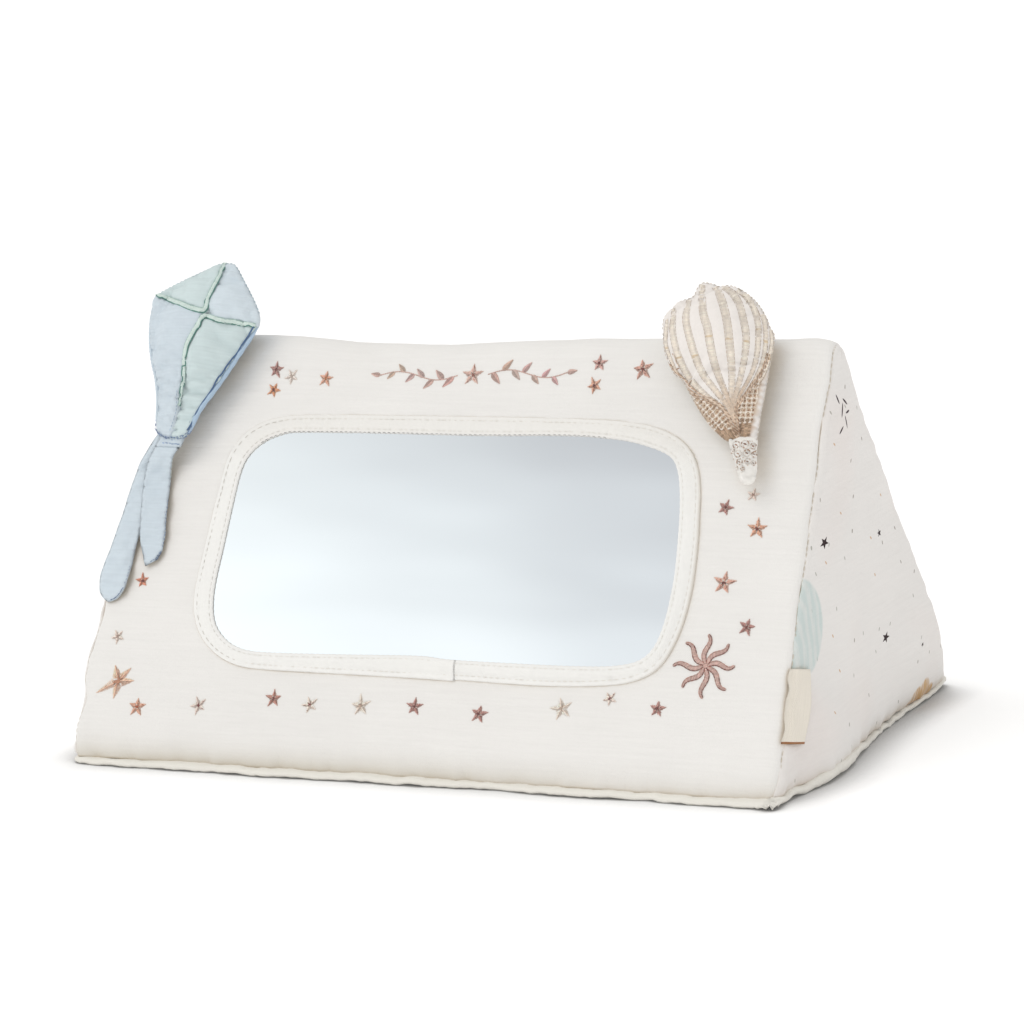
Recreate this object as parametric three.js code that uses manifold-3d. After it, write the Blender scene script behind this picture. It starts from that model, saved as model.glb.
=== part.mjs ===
// A soft padded triangular floor mirror toy for a baby lying on its front.
// Millimetres. +X right, +Y back, +Z up. The origin is the centre of the base panel's underside.
// A wedge of foam stands on a padded base panel. The front panel carries a mirror window held by a
// sewn tape ring; a stuffed kite with two ribbon tails and a stuffed balloon hang from short tapes
// sewn into the ridge seam; a folded loop label is sewn into the front seam of the right end.
import * as THREE from "three";
import { mergeVertices } from "three/addons/utils/BufferGeometryUtils.js";
import Module from "manifold-3d";

// ---- driving dimensions ----
const WIDTH = 340; // along X
const DEPTH = 214.6; // base, front to back
const FRONT_ANGLE = 62.4; // degrees above the floor
const BACK_ANGLE = 58.1;
const RIDGE_R = 10; // outside radius of the ridge
const COVER_T = 1.5; // sewn cotton cover
const WAD_T = 6.7; // wadding
const GAP = 0.3; // between touching pieces
const SEAM_PHI = 70; // where the ridge seam runs, degrees round the ridge circle from +Y
const HINGE_R = 11; // from the ridge circle's centre to the straps' hinge line
const TOY_BACK = 1.0; // how far the stuffed toys hang clear of the front cover
const MIRROR = { x: 0.6, s: 106.4, w: 233, h: 113.6, r: 27 }; // sheet
const WINDOW = { w: 221, h: 101.6, r: 21 };
const BINDING = { w: 242, h: 119, r: 31 };

const rad = THREE.MathUtils.degToRad;
const wasm = await Module();
wasm.setup();

// ---- helpers ----
function indexed(geometry) {
  const g = geometry.clone();
  for (const key of Object.keys(g.attributes))
    if (key !== "position") g.deleteAttribute(key);
  return mergeVertices(g, 1e-4);
}
function toSolid(geometry) {
  const g = indexed(geometry);
  return new wasm.Manifold(
    new wasm.Mesh({
      numProp: 3,
      vertProperties: new Float32Array(g.attributes.position.array),
      triVerts: new Uint32Array(g.index.array),
    }),
  );
}
function fromSolid(solid) {
  const m = solid.getMesh();
  const v = new Float32Array(m.numVert * 3);
  for (let i = 0; i < m.numVert; i++)
    v.set(m.vertProperties.subarray(i * m.numProp, i * m.numProp + 3), i * 3);
  const g = new THREE.BufferGeometry();
  g.setAttribute("position", new THREE.BufferAttribute(v, 3));
  g.setIndex(new THREE.BufferAttribute(new Uint32Array(m.triVerts), 1));
  return g;
}
function shapeOf(points) {
  const s = new THREE.Shape();
  points.forEach(([a, b], i) => (i ? s.lineTo(a, b) : s.moveTo(a, b)));
  s.closePath();
  return s;
}
// A profile given in (y, z), drawn out along X.
const ACROSS = new THREE.Matrix4().makeBasis(
  new THREE.Vector3(0, 1, 0),
  new THREE.Vector3(0, 0, 1),
  new THREE.Vector3(1, 0, 0),
);
function along(points, x0, x1) {
  const g = new THREE.ExtrudeGeometry(shapeOf(points), {
    depth: x1 - x0,
    bevelEnabled: false,
    steps: 1,
  });
  g.translate(0, 0, x0);
  return g.applyMatrix4(ACROSS);
}
// A flat plate in the (x, s) plane between two heights n.
function plate(points, n0, n1) {
  const g = new THREE.ExtrudeGeometry(shapeOf(points), {
    depth: n1 - n0,
    bevelEnabled: false,
    steps: 1,
  });
  return g.translate(0, 0, n0);
}
function roundRect(cx, cy, w, h, r, n = 6) {
  const out = [];
  for (const [sx, sy, a0] of [
    [1, -1, -90],
    [1, 1, 0],
    [-1, 1, 90],
    [-1, -1, 180],
  ])
    for (let i = 0; i <= n; i++) {
      const a = rad(a0 + (90 * i) / n);
      out.push([
        cx + sx * (w / 2 - r) + r * Math.cos(a),
        cy + sy * (h / 2 - r) + r * Math.sin(a),
      ]);
    }
  return out;
}
// A closed body from rings of equal count, capped by a fan on the first and the last ring.
function loft(rings) {
  const n = rings[0].length;
  const pos = [];
  const idx = [];
  rings.forEach((r) => r.forEach((p) => pos.push(...p)));
  for (let k = 0; k + 1 < rings.length; k++)
    for (let i = 0; i < n; i++) {
      const a = k * n + i,
        b = k * n + ((i + 1) % n),
        c = a + n,
        d = b + n;
      idx.push(a, b, d, a, d, c);
    }
  const cap = (k, flip) => {
    const c = pos.length / 3;
    const m = [0, 0, 0];
    rings[k].forEach((p) => p.forEach((v, j) => (m[j] += v / n)));
    pos.push(...m);
    for (let i = 0; i < n; i++) {
      const a = k * n + i,
        b = k * n + ((i + 1) % n);
      flip ? idx.push(c, b, a) : idx.push(c, a, b);
    }
  };
  cap(0, true);
  cap(rings.length - 1, false);
  const g = new THREE.BufferGeometry();
  g.setAttribute(
    "position",
    new THREE.BufferAttribute(new Float32Array(pos), 3),
  );
  g.setIndex(idx);
  return g;
}
// A thin closed sheet from two grids of points, outer[i][j] and inner[i][j]; i runs
// anticlockwise and j upwards, seen from outside.
function sheet(outer, inner) {
  const I = outer.length,
    J = outer[0].length;
  const pos = [...outer.flat(), ...inner.flat()].flat();
  const idx = [];
  const o = (i, j) => i * J + j,
    n = (i, j) => I * J + i * J + j;
  for (let i = 0; i + 1 < I; i++)
    for (let j = 0; j + 1 < J; j++) {
      idx.push(o(i, j), o(i + 1, j), o(i + 1, j + 1));
      idx.push(o(i, j), o(i + 1, j + 1), o(i, j + 1));
      idx.push(n(i, j), n(i + 1, j + 1), n(i + 1, j));
      idx.push(n(i, j), n(i, j + 1), n(i + 1, j + 1));
    }
  const wall = (a, b) => {
    idx.push(a[0], b[0], b[1], a[0], b[1], a[1]);
  };
  for (let i = 0; i + 1 < I; i++) {
    wall([o(i + 1, 0), n(i + 1, 0)], [o(i, 0), n(i, 0)]);
    wall([o(i, J - 1), n(i, J - 1)], [o(i + 1, J - 1), n(i + 1, J - 1)]);
  }
  for (let j = 0; j + 1 < J; j++) {
    wall([o(0, j), n(0, j)], [o(0, j + 1), n(0, j + 1)]);
    wall([o(I - 1, j + 1), n(I - 1, j + 1)], [o(I - 1, j), n(I - 1, j)]);
  }
  const g = new THREE.BufferGeometry();
  g.setAttribute(
    "position",
    new THREE.BufferAttribute(new Float32Array(pos), 3),
  );
  g.setIndex(idx);
  return g;
}
// A ribbon with square edges along stations {p: [x, s, n], w: width, up: [s, n] unit}, width along `side`.
function ribbon(stations, thickness) {
  return loft(
    stations.map(({ p, w, side, up }) => {
      const t = thickness / 2;
      const at = (a, b) => [
        p[0] + side[0] * a + up[0] * b,
        p[1] + side[1] * a + up[1] * b,
        p[2] + side[2] * a + up[2] * b,
      ];
      return [at(-w / 2, -t), at(w / 2, -t), at(w / 2, t), at(-w / 2, t)];
    }),
  );
}
function closedOutward(g) {
  const s = toSolid(g);
  if (s.volume() >= 0) return g;
  const i = g.index.array;
  for (let k = 0; k < i.length; k += 3) [i[k + 1], i[k + 2]] = [i[k + 2], i[k + 1]];
  return g;
}

const group = new THREE.Group();
const COLOUR = {
  cream: [0xebe6df, 0.9],
  print: [0xe0dad2, 0.9],
  foam: [0xe9e2c8, 0.95],
  wad: [0xf4f3ef, 0.95],
  felt: [0xcfcabf, 0.95],
  mint: [0xcadbd5, 0.85],
  blue: [0xcdd9e1, 0.85],
  deepblue: [0x7f9fb8, 0.85],
  piping: [0xbcd9d0, 0.85],
  basket: [0xf1efec, 0.9],
  tape: [0xe6e0cf, 0.9],
};
function add(parent, name, geometry, colour) {
  let material;
  if (colour === "mirror")
    material = new THREE.MeshStandardMaterial({
      color: 0xe8f0f2,
      roughness: 0.05,
      metalness: 1,
    });
  else
    material = new THREE.MeshStandardMaterial({
      color: COLOUR[colour][0],
      roughness: COLOUR[colour][1],
      metalness: 0,
    });
  const mesh = new THREE.Mesh(closedOutward(indexed(geometry)), material);
  mesh.name = name;
  parent.add(mesh);
  return mesh;
}

// ---- the prism's section, in (y, z) ----
const tf = Math.tan(rad(FRONT_ANGLE)),
  tb = Math.tan(rad(BACK_ANGLE));
const sf = Math.sin(rad(FRONT_ANGLE)),
  cf = Math.cos(rad(FRONT_ANGLE));
const sb = Math.sin(rad(BACK_ANGLE)),
  cb = Math.cos(rad(BACK_ANGLE));
const HALF = WIDTH / 2;
// y on the front or the back plane, moved in by d, at height z
const yFront = (z, d) => -DEPTH / 2 + z / tf + d / sf;
const yBack = (z, d) => DEPTH / 2 - z / tb - d / sb;
const APEX_Z = DEPTH / (1 / tf + 1 / tb);
// the ridge circle's centre: RIDGE_R inside both planes
const CZ = (DEPTH - RIDGE_R / sf - RIDGE_R / sb) / (1 / tf + 1 / tb);
const CY = yFront(CZ, RIDGE_R);
const PHI_F = 90 + FRONT_ANGLE; // where the front plane meets the circle
const PHI_B = 90 - BACK_ANGLE;
function arc(r, a0, a1, n) {
  return Array.from({ length: n + 1 }, (_, i) => {
    const a = rad(a0 + ((a1 - a0) * i) / n);
    return [CY + r * Math.cos(a), CZ + r * Math.sin(a)];
  });
}
const T = COVER_T;
const W0 = T + GAP,
  W1 = W0 + WAD_T,
  C0 = W1 + GAP;

const stand = new THREE.Group();
group.add(stand);
const XC = HALF - T - GAP; // ends of the wrapped covers
const XW = XC - WAD_T - GAP; // ends of the core
add(
  stand,
  "front_cover",
  along(
    [
      [yFront(T + GAP, 0), T + GAP],
      ...arc(RIDGE_R, PHI_F, SEAM_PHI + 1, 8),
      ...arc(RIDGE_R - T, SEAM_PHI + 1, PHI_F, 8),
      [yFront(T + GAP, T), T + GAP],
    ],
    -XC,
    XC,
  ),
  "cream",
);
add(
  stand,
  "back_cover",
  along(
    [
      [yBack(T + GAP, 0), T + GAP],
      ...arc(RIDGE_R, PHI_B, SEAM_PHI - 1, 4),
      ...arc(RIDGE_R - T, SEAM_PHI - 1, PHI_B, 4),
      [yBack(T + GAP, T), T + GAP],
    ],
    -XC,
    XC,
  ),
  "print",
);
add(
  stand,
  "base_cover",
  along(
    [
      [-DEPTH / 2, 0],
      [DEPTH / 2, 0],
      [yBack(T, 0), T],
      [yFront(T, 0), T],
    ],
    -XC,
    XC,
  ),
  "print",
);
for (const [name, side] of [
  ["left_end_cover", -1],
  ["right_end_cover", 1],
])
  add(
    stand,
    name,
    along(
      [[-DEPTH / 2, 0], [DEPTH / 2, 0], ...arc(RIDGE_R, PHI_B, PHI_F, 8)],
      side > 0 ? HALF - T : -HALF,
      side > 0 ? HALF : -HALF + T,
    ),
    "print",
  );
add(
  stand,
  "front_wadding",
  along(
    [
      [yFront(C0, W0), C0],
      ...arc(RIDGE_R - W0, PHI_F, 106, 5),
      ...arc(RIDGE_R - W1, 106, PHI_F, 3),
      [yFront(C0, W1), C0],
    ],
    -XW,
    XW,
  ),
  "wad",
);
add(
  stand,
  "back_wadding",
  along(
    [
      [yBack(C0, W0), C0],
      ...arc(RIDGE_R - W0, PHI_B, 102, 6),
      ...arc(RIDGE_R - W1, 102, PHI_B, 3),
      [yBack(C0, W1), C0],
    ],
    -XW,
    XW,
  ),
  "wad",
);
add(
  stand,
  "base_wadding",
  along(
    [
      [yFront(W0, W0), W0],
      [yBack(W0, W0), W0],
      [yBack(W1, W0), W1],
      [yFront(W1, W0), W1],
    ],
    -XW,
    XW,
  ),
  "wad",
);
for (const [name, side] of [
  ["left_end_wadding", -1],
  ["right_end_wadding", 1],
])
  add(
    stand,
    name,
    along(
      [
        [yFront(W0, W0), W0],
        [yBack(W0, W0), W0],
        ...arc(RIDGE_R - W0, PHI_B, PHI_F, 6),
      ],
      side > 0 ? XW + GAP : -XC,
      side > 0 ? XC : -XW - GAP,
    ),
    "wad",
  );
add(
  stand,
  "foam_core",
  along(
    [
      [yFront(C0, C0), C0],
      [yBack(C0, C0), C0],
      ...arc(RIDGE_R - C0, PHI_B, PHI_F, 3),
    ],
    -XW,
    XW,
  ),
  "foam",
);

// ---- the front panel's own frame: x along the ridge, s up the slope, n outwards ----
const front = new THREE.Group();
front.position.set(0, -DEPTH / 2, 0);
front.rotation.x = rad(FRONT_ANGLE);
group.add(front);

add(
  front,
  "mirror_backing",
  plate(
    roundRect(MIRROR.x, MIRROR.s, MIRROR.w - 1, MIRROR.h - 1, MIRROR.r - 0.5),
    GAP,
    1.6,
  ),
  "felt",
);
add(
  front,
  "mirror_sheet",
  plate(roundRect(MIRROR.x, MIRROR.s, MIRROR.w, MIRROR.h, MIRROR.r), 1.9, 2.7),
  "mirror",
);
{
  const outer = roundRect(MIRROR.x, MIRROR.s, BINDING.w, BINDING.h, BINDING.r);
  const skirt = roundRect(
    MIRROR.x,
    MIRROR.s,
    MIRROR.w + 2 * GAP,
    MIRROR.h + 2 * GAP,
    MIRROR.r + GAP,
  );
  const window_ = roundRect(MIRROR.x, MIRROR.s, WINDOW.w, WINDOW.h, WINDOW.r);
  const ring = toSolid(plate(outer, GAP, 4.0))
    .subtract(toSolid(plate(skirt, -1, 3.0)))
    .subtract(toSolid(plate(window_, -1, 6)));
  add(front, "mirror_binding", fromSolid(ring), "cream");
}

// ---- stuffed toys: an outline in (x, s), swollen about its seam plane ----
function resample(points, n) {
  const curve = new THREE.CatmullRomCurve3(
    points.map(([x, s]) => new THREE.Vector3(x, s, 0)),
    true,
    "centripetal",
  );
  return curve.getSpacedPoints(n).slice(0, n).map((p) => [p.x, p.y]);
}
// [height from the back plane to the front, share of the outline's radius]
const FRONT_PROFILE = [
  [11.2, 1.0],
  [15.5, 0.95],
  [19.5, 0.82],
  [22.6, 0.6],
  [24.4, 0.33],
  [24.9, 0.06],
];
const BACK_PROFILE = [
  [10.8, 1.0],
  [7.0, 0.97],
  [3.6, 0.88],
  [1.5, 0.72],
  [0.6, 0.45],
  [0.35, 0.06],
];
function ring([h, k], outline, [cx, cs], inset) {
  return outline.map(([x, s]) => {
    const dx = x - cx,
      ds = s - cs,
      r = Math.hypot(dx, ds);
    const q = Math.max(k * r - inset, 0.2) / r;
    return [cx + dx * q, cs + ds * q, h];
  });
}
// the cover's inside lies `t` below its outside
function lower([h, k], t, front_) {
  return [front_ ? h - t * (1 - k * 0.96) : h + t * (1 - k * 0.96), k];
}
function filling(outline, c, t) {
  const back = [...BACK_PROFILE].reverse().map((l) => lower(l, t, false));
  const fr = FRONT_PROFILE.map((l) => lower(l, t, true));
  return loft(
    [...back, ...fr].map((l) =>
      ring([l[0] + TOY_BACK, l[1]], outline, c, t),
    ),
  );
}

// ---- kite ----
const KITE_C = [-132.8, 208.6];
const KITE_ENDS = {
  right: [-102.9, 202.4],
  top: [-127.0, 234.2],
  left: [-165.6, 216.0],
  bottom: [-140.6, 148.6],
};
const kite = new THREE.Group();
front.add(kite);
// each quarter's edge from one corner to the next, anticlockwise from the right corner
const KITE_EDGES = [
  [[-103.5, 205.6], [-109.6, 215.2], [-117.4, 225.6], [-122.9, 232.2]],
  [[-132.6, 233.6], [-141.5, 229.6], [-152.0, 225.0], [-161.8, 220.2]],
  [[-165.2, 210.5], [-162.7, 193.9], [-157.6, 179.0], [-153.6, 163.5], [-149.6, 152.4]],
  [[-133.8, 150.3], [-128.2, 159.4], [-118.6, 173.6], [-109.9, 186.8], [-104.1, 197.2]],
];
const CORNERS = [
  KITE_ENDS.right,
  KITE_ENDS.top,
  KITE_ENDS.left,
  KITE_ENDS.bottom,
];
const KITE_OUTLINE = CORNERS.flatMap((c, i) => [c, ...KITE_EDGES[i]]);
function toward(edge, [cx, cs], d) {
  const m = edge[Math.floor(edge.length / 2)];
  const r = Math.hypot(m[0] - cx, m[1] - cs);
  return [((m[0] - cx) / r) * d, ((m[1] - cs) / r) * d];
}
const COVER_TOY = 1.2;
const names = [
  ["kite_panel_top_right", "blue"],
  ["kite_panel_top_left", "mint"],
  ["kite_panel_bottom_left", "blue"],
  ["kite_panel_bottom_right", "mint"],
];
names.forEach(([name, colour], q) => {
  const edge = [CORNERS[q], ...KITE_EDGES[q], CORNERS[(q + 1) % 4]];
  const shift = toward(edge, KITE_C, 0.35);
  const centre = [KITE_C[0] + shift[0], KITE_C[1] + shift[1]];
  const moved = edge.map(([x, s]) => [x + shift[0], s + shift[1]]);
  const outer = FRONT_PROFILE.map(([h, k]) =>
    ring([h + TOY_BACK, k], moved, centre, 0),
  );
  const inner = FRONT_PROFILE.map((l) => {
    const [h, k] = lower(l, COVER_TOY, true);
    return ring([h + TOY_BACK, k], moved, centre, COVER_TOY);
  });
  const grid = (rings) => moved.map((_, i) => rings.map((r) => r[i]));
  add(kite, name, sheet(grid(outer), grid(inner)), colour);
});
{
  // the back cover: an open cup closed round the seam by its own thickness
  const outer = BACK_PROFILE.map(([h, k]) =>
    ring([h + TOY_BACK, k], KITE_OUTLINE, KITE_C, 0),
  );
  const inner = BACK_PROFILE.map((l) => {
    const [h, k] = lower(l, COVER_TOY, false);
    return ring([h + TOY_BACK, k], KITE_OUTLINE, KITE_C, COVER_TOY);
  });
  add(kite, "kite_back_cover", cup(outer, inner), "deepblue");
}
// a closed cup: outer rings from the rim to the pole, then inner rings back to the rim
function cup(outer, inner) {
  const rings = [...outer, ...[...inner].reverse()];
  const n = outer[0].length;
  const K = rings.length;
  const pos = rings.flat().flat();
  const idx = [];
  const pole = outer.length - 1;
  for (let k = 0; k < K; k++) {
    const k2 = (k + 1) % K;
    if (k === pole) continue;
    for (let i = 0; i < n; i++) {
      const a = k * n + i,
        b = k * n + ((i + 1) % n),
        c = k2 * n + i,
        d = k2 * n + ((i + 1) % n);
      idx.push(a, b, d, a, d, c);
    }
  }
  for (const [k, flip] of [
    [pole, false],
    [pole + 1, true],
  ]) {
    const c = pos.length / 3;
    const m = [0, 0, 0];
    rings[k].forEach((p) => p.forEach((v, j) => (m[j] += v / n)));
    pos.push(...m);
    for (let i = 0; i < n; i++) {
      const a = k * n + i,
        b = k * n + ((i + 1) % n);
      flip ? idx.push(c, b, a) : idx.push(c, a, b);
    }
  }
  const g = new THREE.BufferGeometry();
  g.setAttribute(
    "position",
    new THREE.BufferAttribute(new Float32Array(pos), 3),
  );
  g.setIndex(idx);
  return g;
}
add(kite, "kite_filling", filling(KITE_OUTLINE, KITE_C, COVER_TOY + GAP), "wad");
{
  // raised piping over the spine and the spar
  const run = (a, b) => {
    const stations = [];
    const one = (end, k, h) => {
      const dx = end[0] - KITE_C[0],
        ds = end[1] - KITE_C[1];
      return [KITE_C[0] + dx * k, KITE_C[1] + ds * k, h + TOY_BACK];
    };
    const list = [
      ...FRONT_PROFILE.slice(1).map(([h, k]) => one(a, k, h)),
      one(a, 0, 25.0),
      ...[...FRONT_PROFILE.slice(1)].reverse().map(([h, k]) => one(b, k, h)),
    ];
    const dir = new THREE.Vector3(b[0] - a[0], b[1] - a[1], 0).normalize();
    const side = new THREE.Vector3(-dir.y, dir.x, 0).negate();
    list.forEach((p, i) => {
      const p0 = new THREE.Vector3(...list[Math.max(i - 1, 0)]);
      const p1 = new THREE.Vector3(...list[Math.min(i + 1, list.length - 1)]);
      const t = p1.sub(p0).normalize();
      const up = new THREE.Vector3().crossVectors(side, t).normalize();
      if (up.z < 0) up.negate();
      const c = new THREE.Vector3(...p).addScaledVector(up, 1.25);
      stations.push({
        p: c.toArray(),
        w: 3,
        side: side.toArray(),
        up: up.toArray(),
      });
    });
    return toSolid(closedOutward(indexed(ribbon(stations, 1.7))));
  };
  const spine = run(KITE_ENDS.top, KITE_ENDS.bottom);
  const spar = run(KITE_ENDS.left, KITE_ENDS.right);
  add(kite, "kite_cross_piping", fromSolid(spine.add(spar)), "piping");
}
// the strap: from the hinge line at the ridge seam straight to a toy's back
const HINGE_S = (CY + HINGE_R * Math.cos(rad(SEAM_PHI)) + DEPTH / 2) * cf +
  (CZ + HINGE_R * Math.sin(rad(SEAM_PHI))) * sf;
const HINGE_N = -(CY + HINGE_R * Math.cos(rad(SEAM_PHI)) + DEPTH / 2) * sf +
  (CZ + HINGE_R * Math.sin(rad(SEAM_PHI))) * cf;
function strap(cx) {
  const w = 14,
    t = 0.5;
  return plate(
    [
      [cx - w / 2, HINGE_S - t],
      [cx + w / 2, HINGE_S - t],
      [cx + w / 2, HINGE_S + t],
      [cx - w / 2, HINGE_S + t],
    ],
    HINGE_N + 0.5,
    TOY_BACK + 0.05,
  );
}
add(kite, "kite_strap", strap(-133), "tape");

// ---- ribbon tails: [x, s, width], they drop from the kite's seam and then lie on the panel ----
const ribbonPath = (list, drop, rest) =>
  list.map(([x, s, w], i) => {
    const a = list[Math.max(i - 1, 0)],
      b = list[Math.min(i + 1, list.length - 1)];
    const n = (q) => Math.max(rest, drop(q));
    const t = new THREE.Vector3(0, b[1] - a[1], n(b[1]) - n(a[1])).normalize();
    const side = new THREE.Vector3(1, 0, 0);
    const up = new THREE.Vector3().crossVectors(side, t).normalize();
    if (up.z < 0) up.negate();
    return { p: [x, s, n(s)], w, side: side.toArray(), up: up.toArray() };
  });
const TAIL_T = 1.4;
const dropLong = (s) => 2.0 + Math.max(0, s - 131) * 0.52;
const dropShort = (s) => 4.0 + Math.max(0, s - 131) * 0.52;
const longTail = new THREE.Group(),
  shortTail = new THREE.Group();
kite.add(longTail);
longTail.add(shortTail);
add(
  longTail,
  "kite_tail_long",
  ribbon(
    ribbonPath(
      [
        [-149.4, 145.3, 13.5],
        [-152.6, 140.0, 14],
        [-156.6, 131.0, 14.3],
        [-159.6, 119.0, 14.5],
        [-162.0, 105.0, 14.5],
        [-163.6, 93.0, 14.2],
        [-164.2, 83.0, 13.0],
        [-164.6, 77.5, 9.0],
        [-164.8, 74.8, 4.0],
      ],
      dropLong,
      2.0,
    ),
    TAIL_T,
  ),
  "blue",
);
add(
  shortTail,
  "kite_tail_short",
  ribbon(
    ribbonPath(
      [
        [-147.0, 145.3, 13.0],
        [-148.8, 140.0, 13.6],
        [-150.2, 131.0, 14.2],
        [-149.2, 119.0, 13.8],
        [-147.9, 107.5, 14.0],
        [-146.8, 99.5, 12.0],
        [-146.6, 94.0, 8.0],
        [-146.6, 91.0, 4.0],
      ],
      dropShort,
      4.0,
    ),
    TAIL_T,
  ),
  "blue",
);

// ---- balloon ----
const BALLOON_C = [122.5, 192.5];
const BALLOON_OUTLINE = resample(
  [
    [111.8, 224.1],
    [106.8, 221.0],
    [100.2, 216.3],
    [95.2, 208.0],
    [94.0, 198.0],
    [97.3, 189.9],
    [102.4, 182.1],
    [107.6, 176.0],
    [112.6, 169.6],
    [118.6, 162.6],
    [125.4, 156.2],
    [131.4, 151.9],
    [139.4, 151.2],
    [146.7, 152.6],
    [147.2, 163.6],
    [147.9, 175.9],
    [148.5, 187.0],
    [147.8, 196.0],
    [145.6, 203.4],
    [142.0, 210.0],
    [136.6, 216.4],
    [129.4, 221.4],
    [120.6, 224.0],
  ],
  30,
).reverse();
const balloon = new THREE.Group();
front.add(balloon);
for (const [name, profile, isFront] of [
  ["balloon_front_cover", FRONT_PROFILE, true],
  ["balloon_back_cover", BACK_PROFILE, false],
]) {
  const outer = profile.map(([h, k]) =>
    ring([h + TOY_BACK, k], BALLOON_OUTLINE, BALLOON_C, 0),
  );
  const inner = profile.map((l) => {
    const [h, k] = lower(l, COVER_TOY, isFront);
    return ring([h + TOY_BACK, k], BALLOON_OUTLINE, BALLOON_C, COVER_TOY);
  });
  add(balloon, name, cup(outer, inner), "cream");
}
add(
  balloon,
  "balloon_filling",
  filling(BALLOON_OUTLINE, BALLOON_C, COVER_TOY + GAP),
  "wad",
);
{
  const base = [
    [134.6, 149.2],
    [137.4, 143.0],
    [139.6, 137.4],
    [142.4, 134.4],
    [145.2, 135.4],
    [146.5, 140.6],
    [146.9, 149.6],
    [140.6, 149.6],
  ].reverse();
  const c = [141.6, 143.0];
  add(
    balloon,
    "balloon_basket",
    loft(
      [
        [6.2, 0.55],
        [7.2, 0.85],
        [10.5, 1.0],
        [14.5, 1.0],
        [17.4, 0.85],
        [18.4, 0.55],
      ].map((l) => ring([l[0], l[1]], base, c, 0)),
    ),
    "basket",
  );
}
add(balloon, "balloon_strap", strap(121), "tape");

// ---- loop label on the right end, in (y, z) ----
{
  const q = [Math.cos(rad(-13.5)), Math.sin(rad(-13.5))];
  const at = (s, w) => [-DEPTH / 2 + s * cf + w * q[0], s * sf + w * q[1]];
  const label = new THREE.Group();
  group.add(label);
  add(
    label,
    "loop_label",
    along(
      [at(27.4, 0.6), at(27.4, 21.6), at(59.2, 21.6), at(59.2, 0.6)],
      HALF + 0.5,
      HALF + 2.3,
    ),
    "tape",
  );
}

export default group;
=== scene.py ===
# A soft padded triangular floor mirror toy: cotton covers over padding, a sewn-in mirror window,
# a stuffed kite with two ribbon tails, a stuffed balloon, embroidery, a folded loop label, and light.
# Lengths in the code are millimetres until a mesh is made; the scene is in metres.
import math

import bmesh
import bpy
import numpy as np
from mathutils import Matrix, Vector
from mathutils.geometry import delaunay_2d_cdt


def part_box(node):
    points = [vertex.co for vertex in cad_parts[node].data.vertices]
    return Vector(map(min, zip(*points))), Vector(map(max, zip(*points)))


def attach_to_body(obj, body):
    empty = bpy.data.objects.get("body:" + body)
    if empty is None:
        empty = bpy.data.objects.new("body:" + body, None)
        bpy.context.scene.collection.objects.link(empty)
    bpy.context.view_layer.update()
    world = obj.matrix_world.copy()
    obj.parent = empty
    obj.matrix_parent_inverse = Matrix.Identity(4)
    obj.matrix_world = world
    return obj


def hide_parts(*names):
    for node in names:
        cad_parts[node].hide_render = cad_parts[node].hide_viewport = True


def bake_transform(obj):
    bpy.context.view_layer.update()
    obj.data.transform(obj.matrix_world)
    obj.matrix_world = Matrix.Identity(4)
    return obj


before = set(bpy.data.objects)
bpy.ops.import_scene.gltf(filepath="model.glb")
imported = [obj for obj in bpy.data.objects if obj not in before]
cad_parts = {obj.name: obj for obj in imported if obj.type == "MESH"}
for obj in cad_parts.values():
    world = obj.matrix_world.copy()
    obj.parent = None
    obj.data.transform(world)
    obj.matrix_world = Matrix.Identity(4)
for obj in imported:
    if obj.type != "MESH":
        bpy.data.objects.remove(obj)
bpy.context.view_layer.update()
scene = bpy.context.scene
MM = 0.001
rad, deg = math.radians, math.degrees

# ------------------------------------------------------------------ camera
CAM_A, CAM_B, CAM_R = rad(27.214), rad(10.594), rad(-3.828)
fwd = Vector((-math.sin(CAM_A) * math.cos(CAM_B), math.cos(CAM_A) * math.cos(CAM_B), -math.sin(CAM_B)))
right = Vector((math.cos(CAM_A), math.sin(CAM_A), 0))
up = right.cross(fwd)
cam_x = right * math.cos(CAM_R) + up * math.sin(CAM_R)
cam_y = -right * math.sin(CAM_R) + up * math.cos(CAM_R)
cam = bpy.data.objects.new("camera", bpy.data.cameras.new("camera"))
scene.collection.objects.link(cam)
m = Matrix((cam_x, cam_y, -fwd)).transposed().to_4x4()
m.translation = Vector((0.7363, -1.4236, 0.3977))
cam.matrix_world = m
cam.data.sensor_width = 36
cam.data.lens = 127.58
cam.data.clip_start, cam.data.clip_end = 0.05, 100
scene.camera = cam

# ------------------------------------------------------------------ the prism's section
DEPTH = 214.6
R = 10.0
SF, CF = math.sin(rad(62.4)), math.cos(rad(62.4))
SB, CB = math.sin(rad(58.1)), math.cos(rad(58.1))
CY, CZ = -8.582, 167.246
PHI_F, PHI_B, PHI_S = rad(152.4), rad(31.9), rad(70)
S_T = (CY + R * math.cos(PHI_F) + DEPTH / 2) * CF + (CZ + R * math.sin(PHI_F)) * SF
S_B = (DEPTH / 2 - CY - R * math.cos(PHI_B)) * CB + (CZ + R * math.sin(PHI_B)) * SB
V0 = 3.4  # lower edge of the front cover, along the slope
V1 = S_T + R * (PHI_F - PHI_S)
VB1 = S_B + R * (PHI_S - PHI_B)
CORNER = 5.0  # radius of the padded corner between a slope and an end


def front_frame(v):
    v = np.asarray(v, float)
    phi = PHI_F - np.maximum(v - S_T, 0) / R
    flat = v <= S_T
    y = np.where(flat, -DEPTH / 2 + CF * v, CY + R * np.cos(phi))
    z = np.where(flat, SF * v, CZ + R * np.sin(phi))
    ny = np.where(flat, -SF, np.cos(phi))
    nz = np.where(flat, CF, np.sin(phi))
    return y, z, ny, nz


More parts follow.
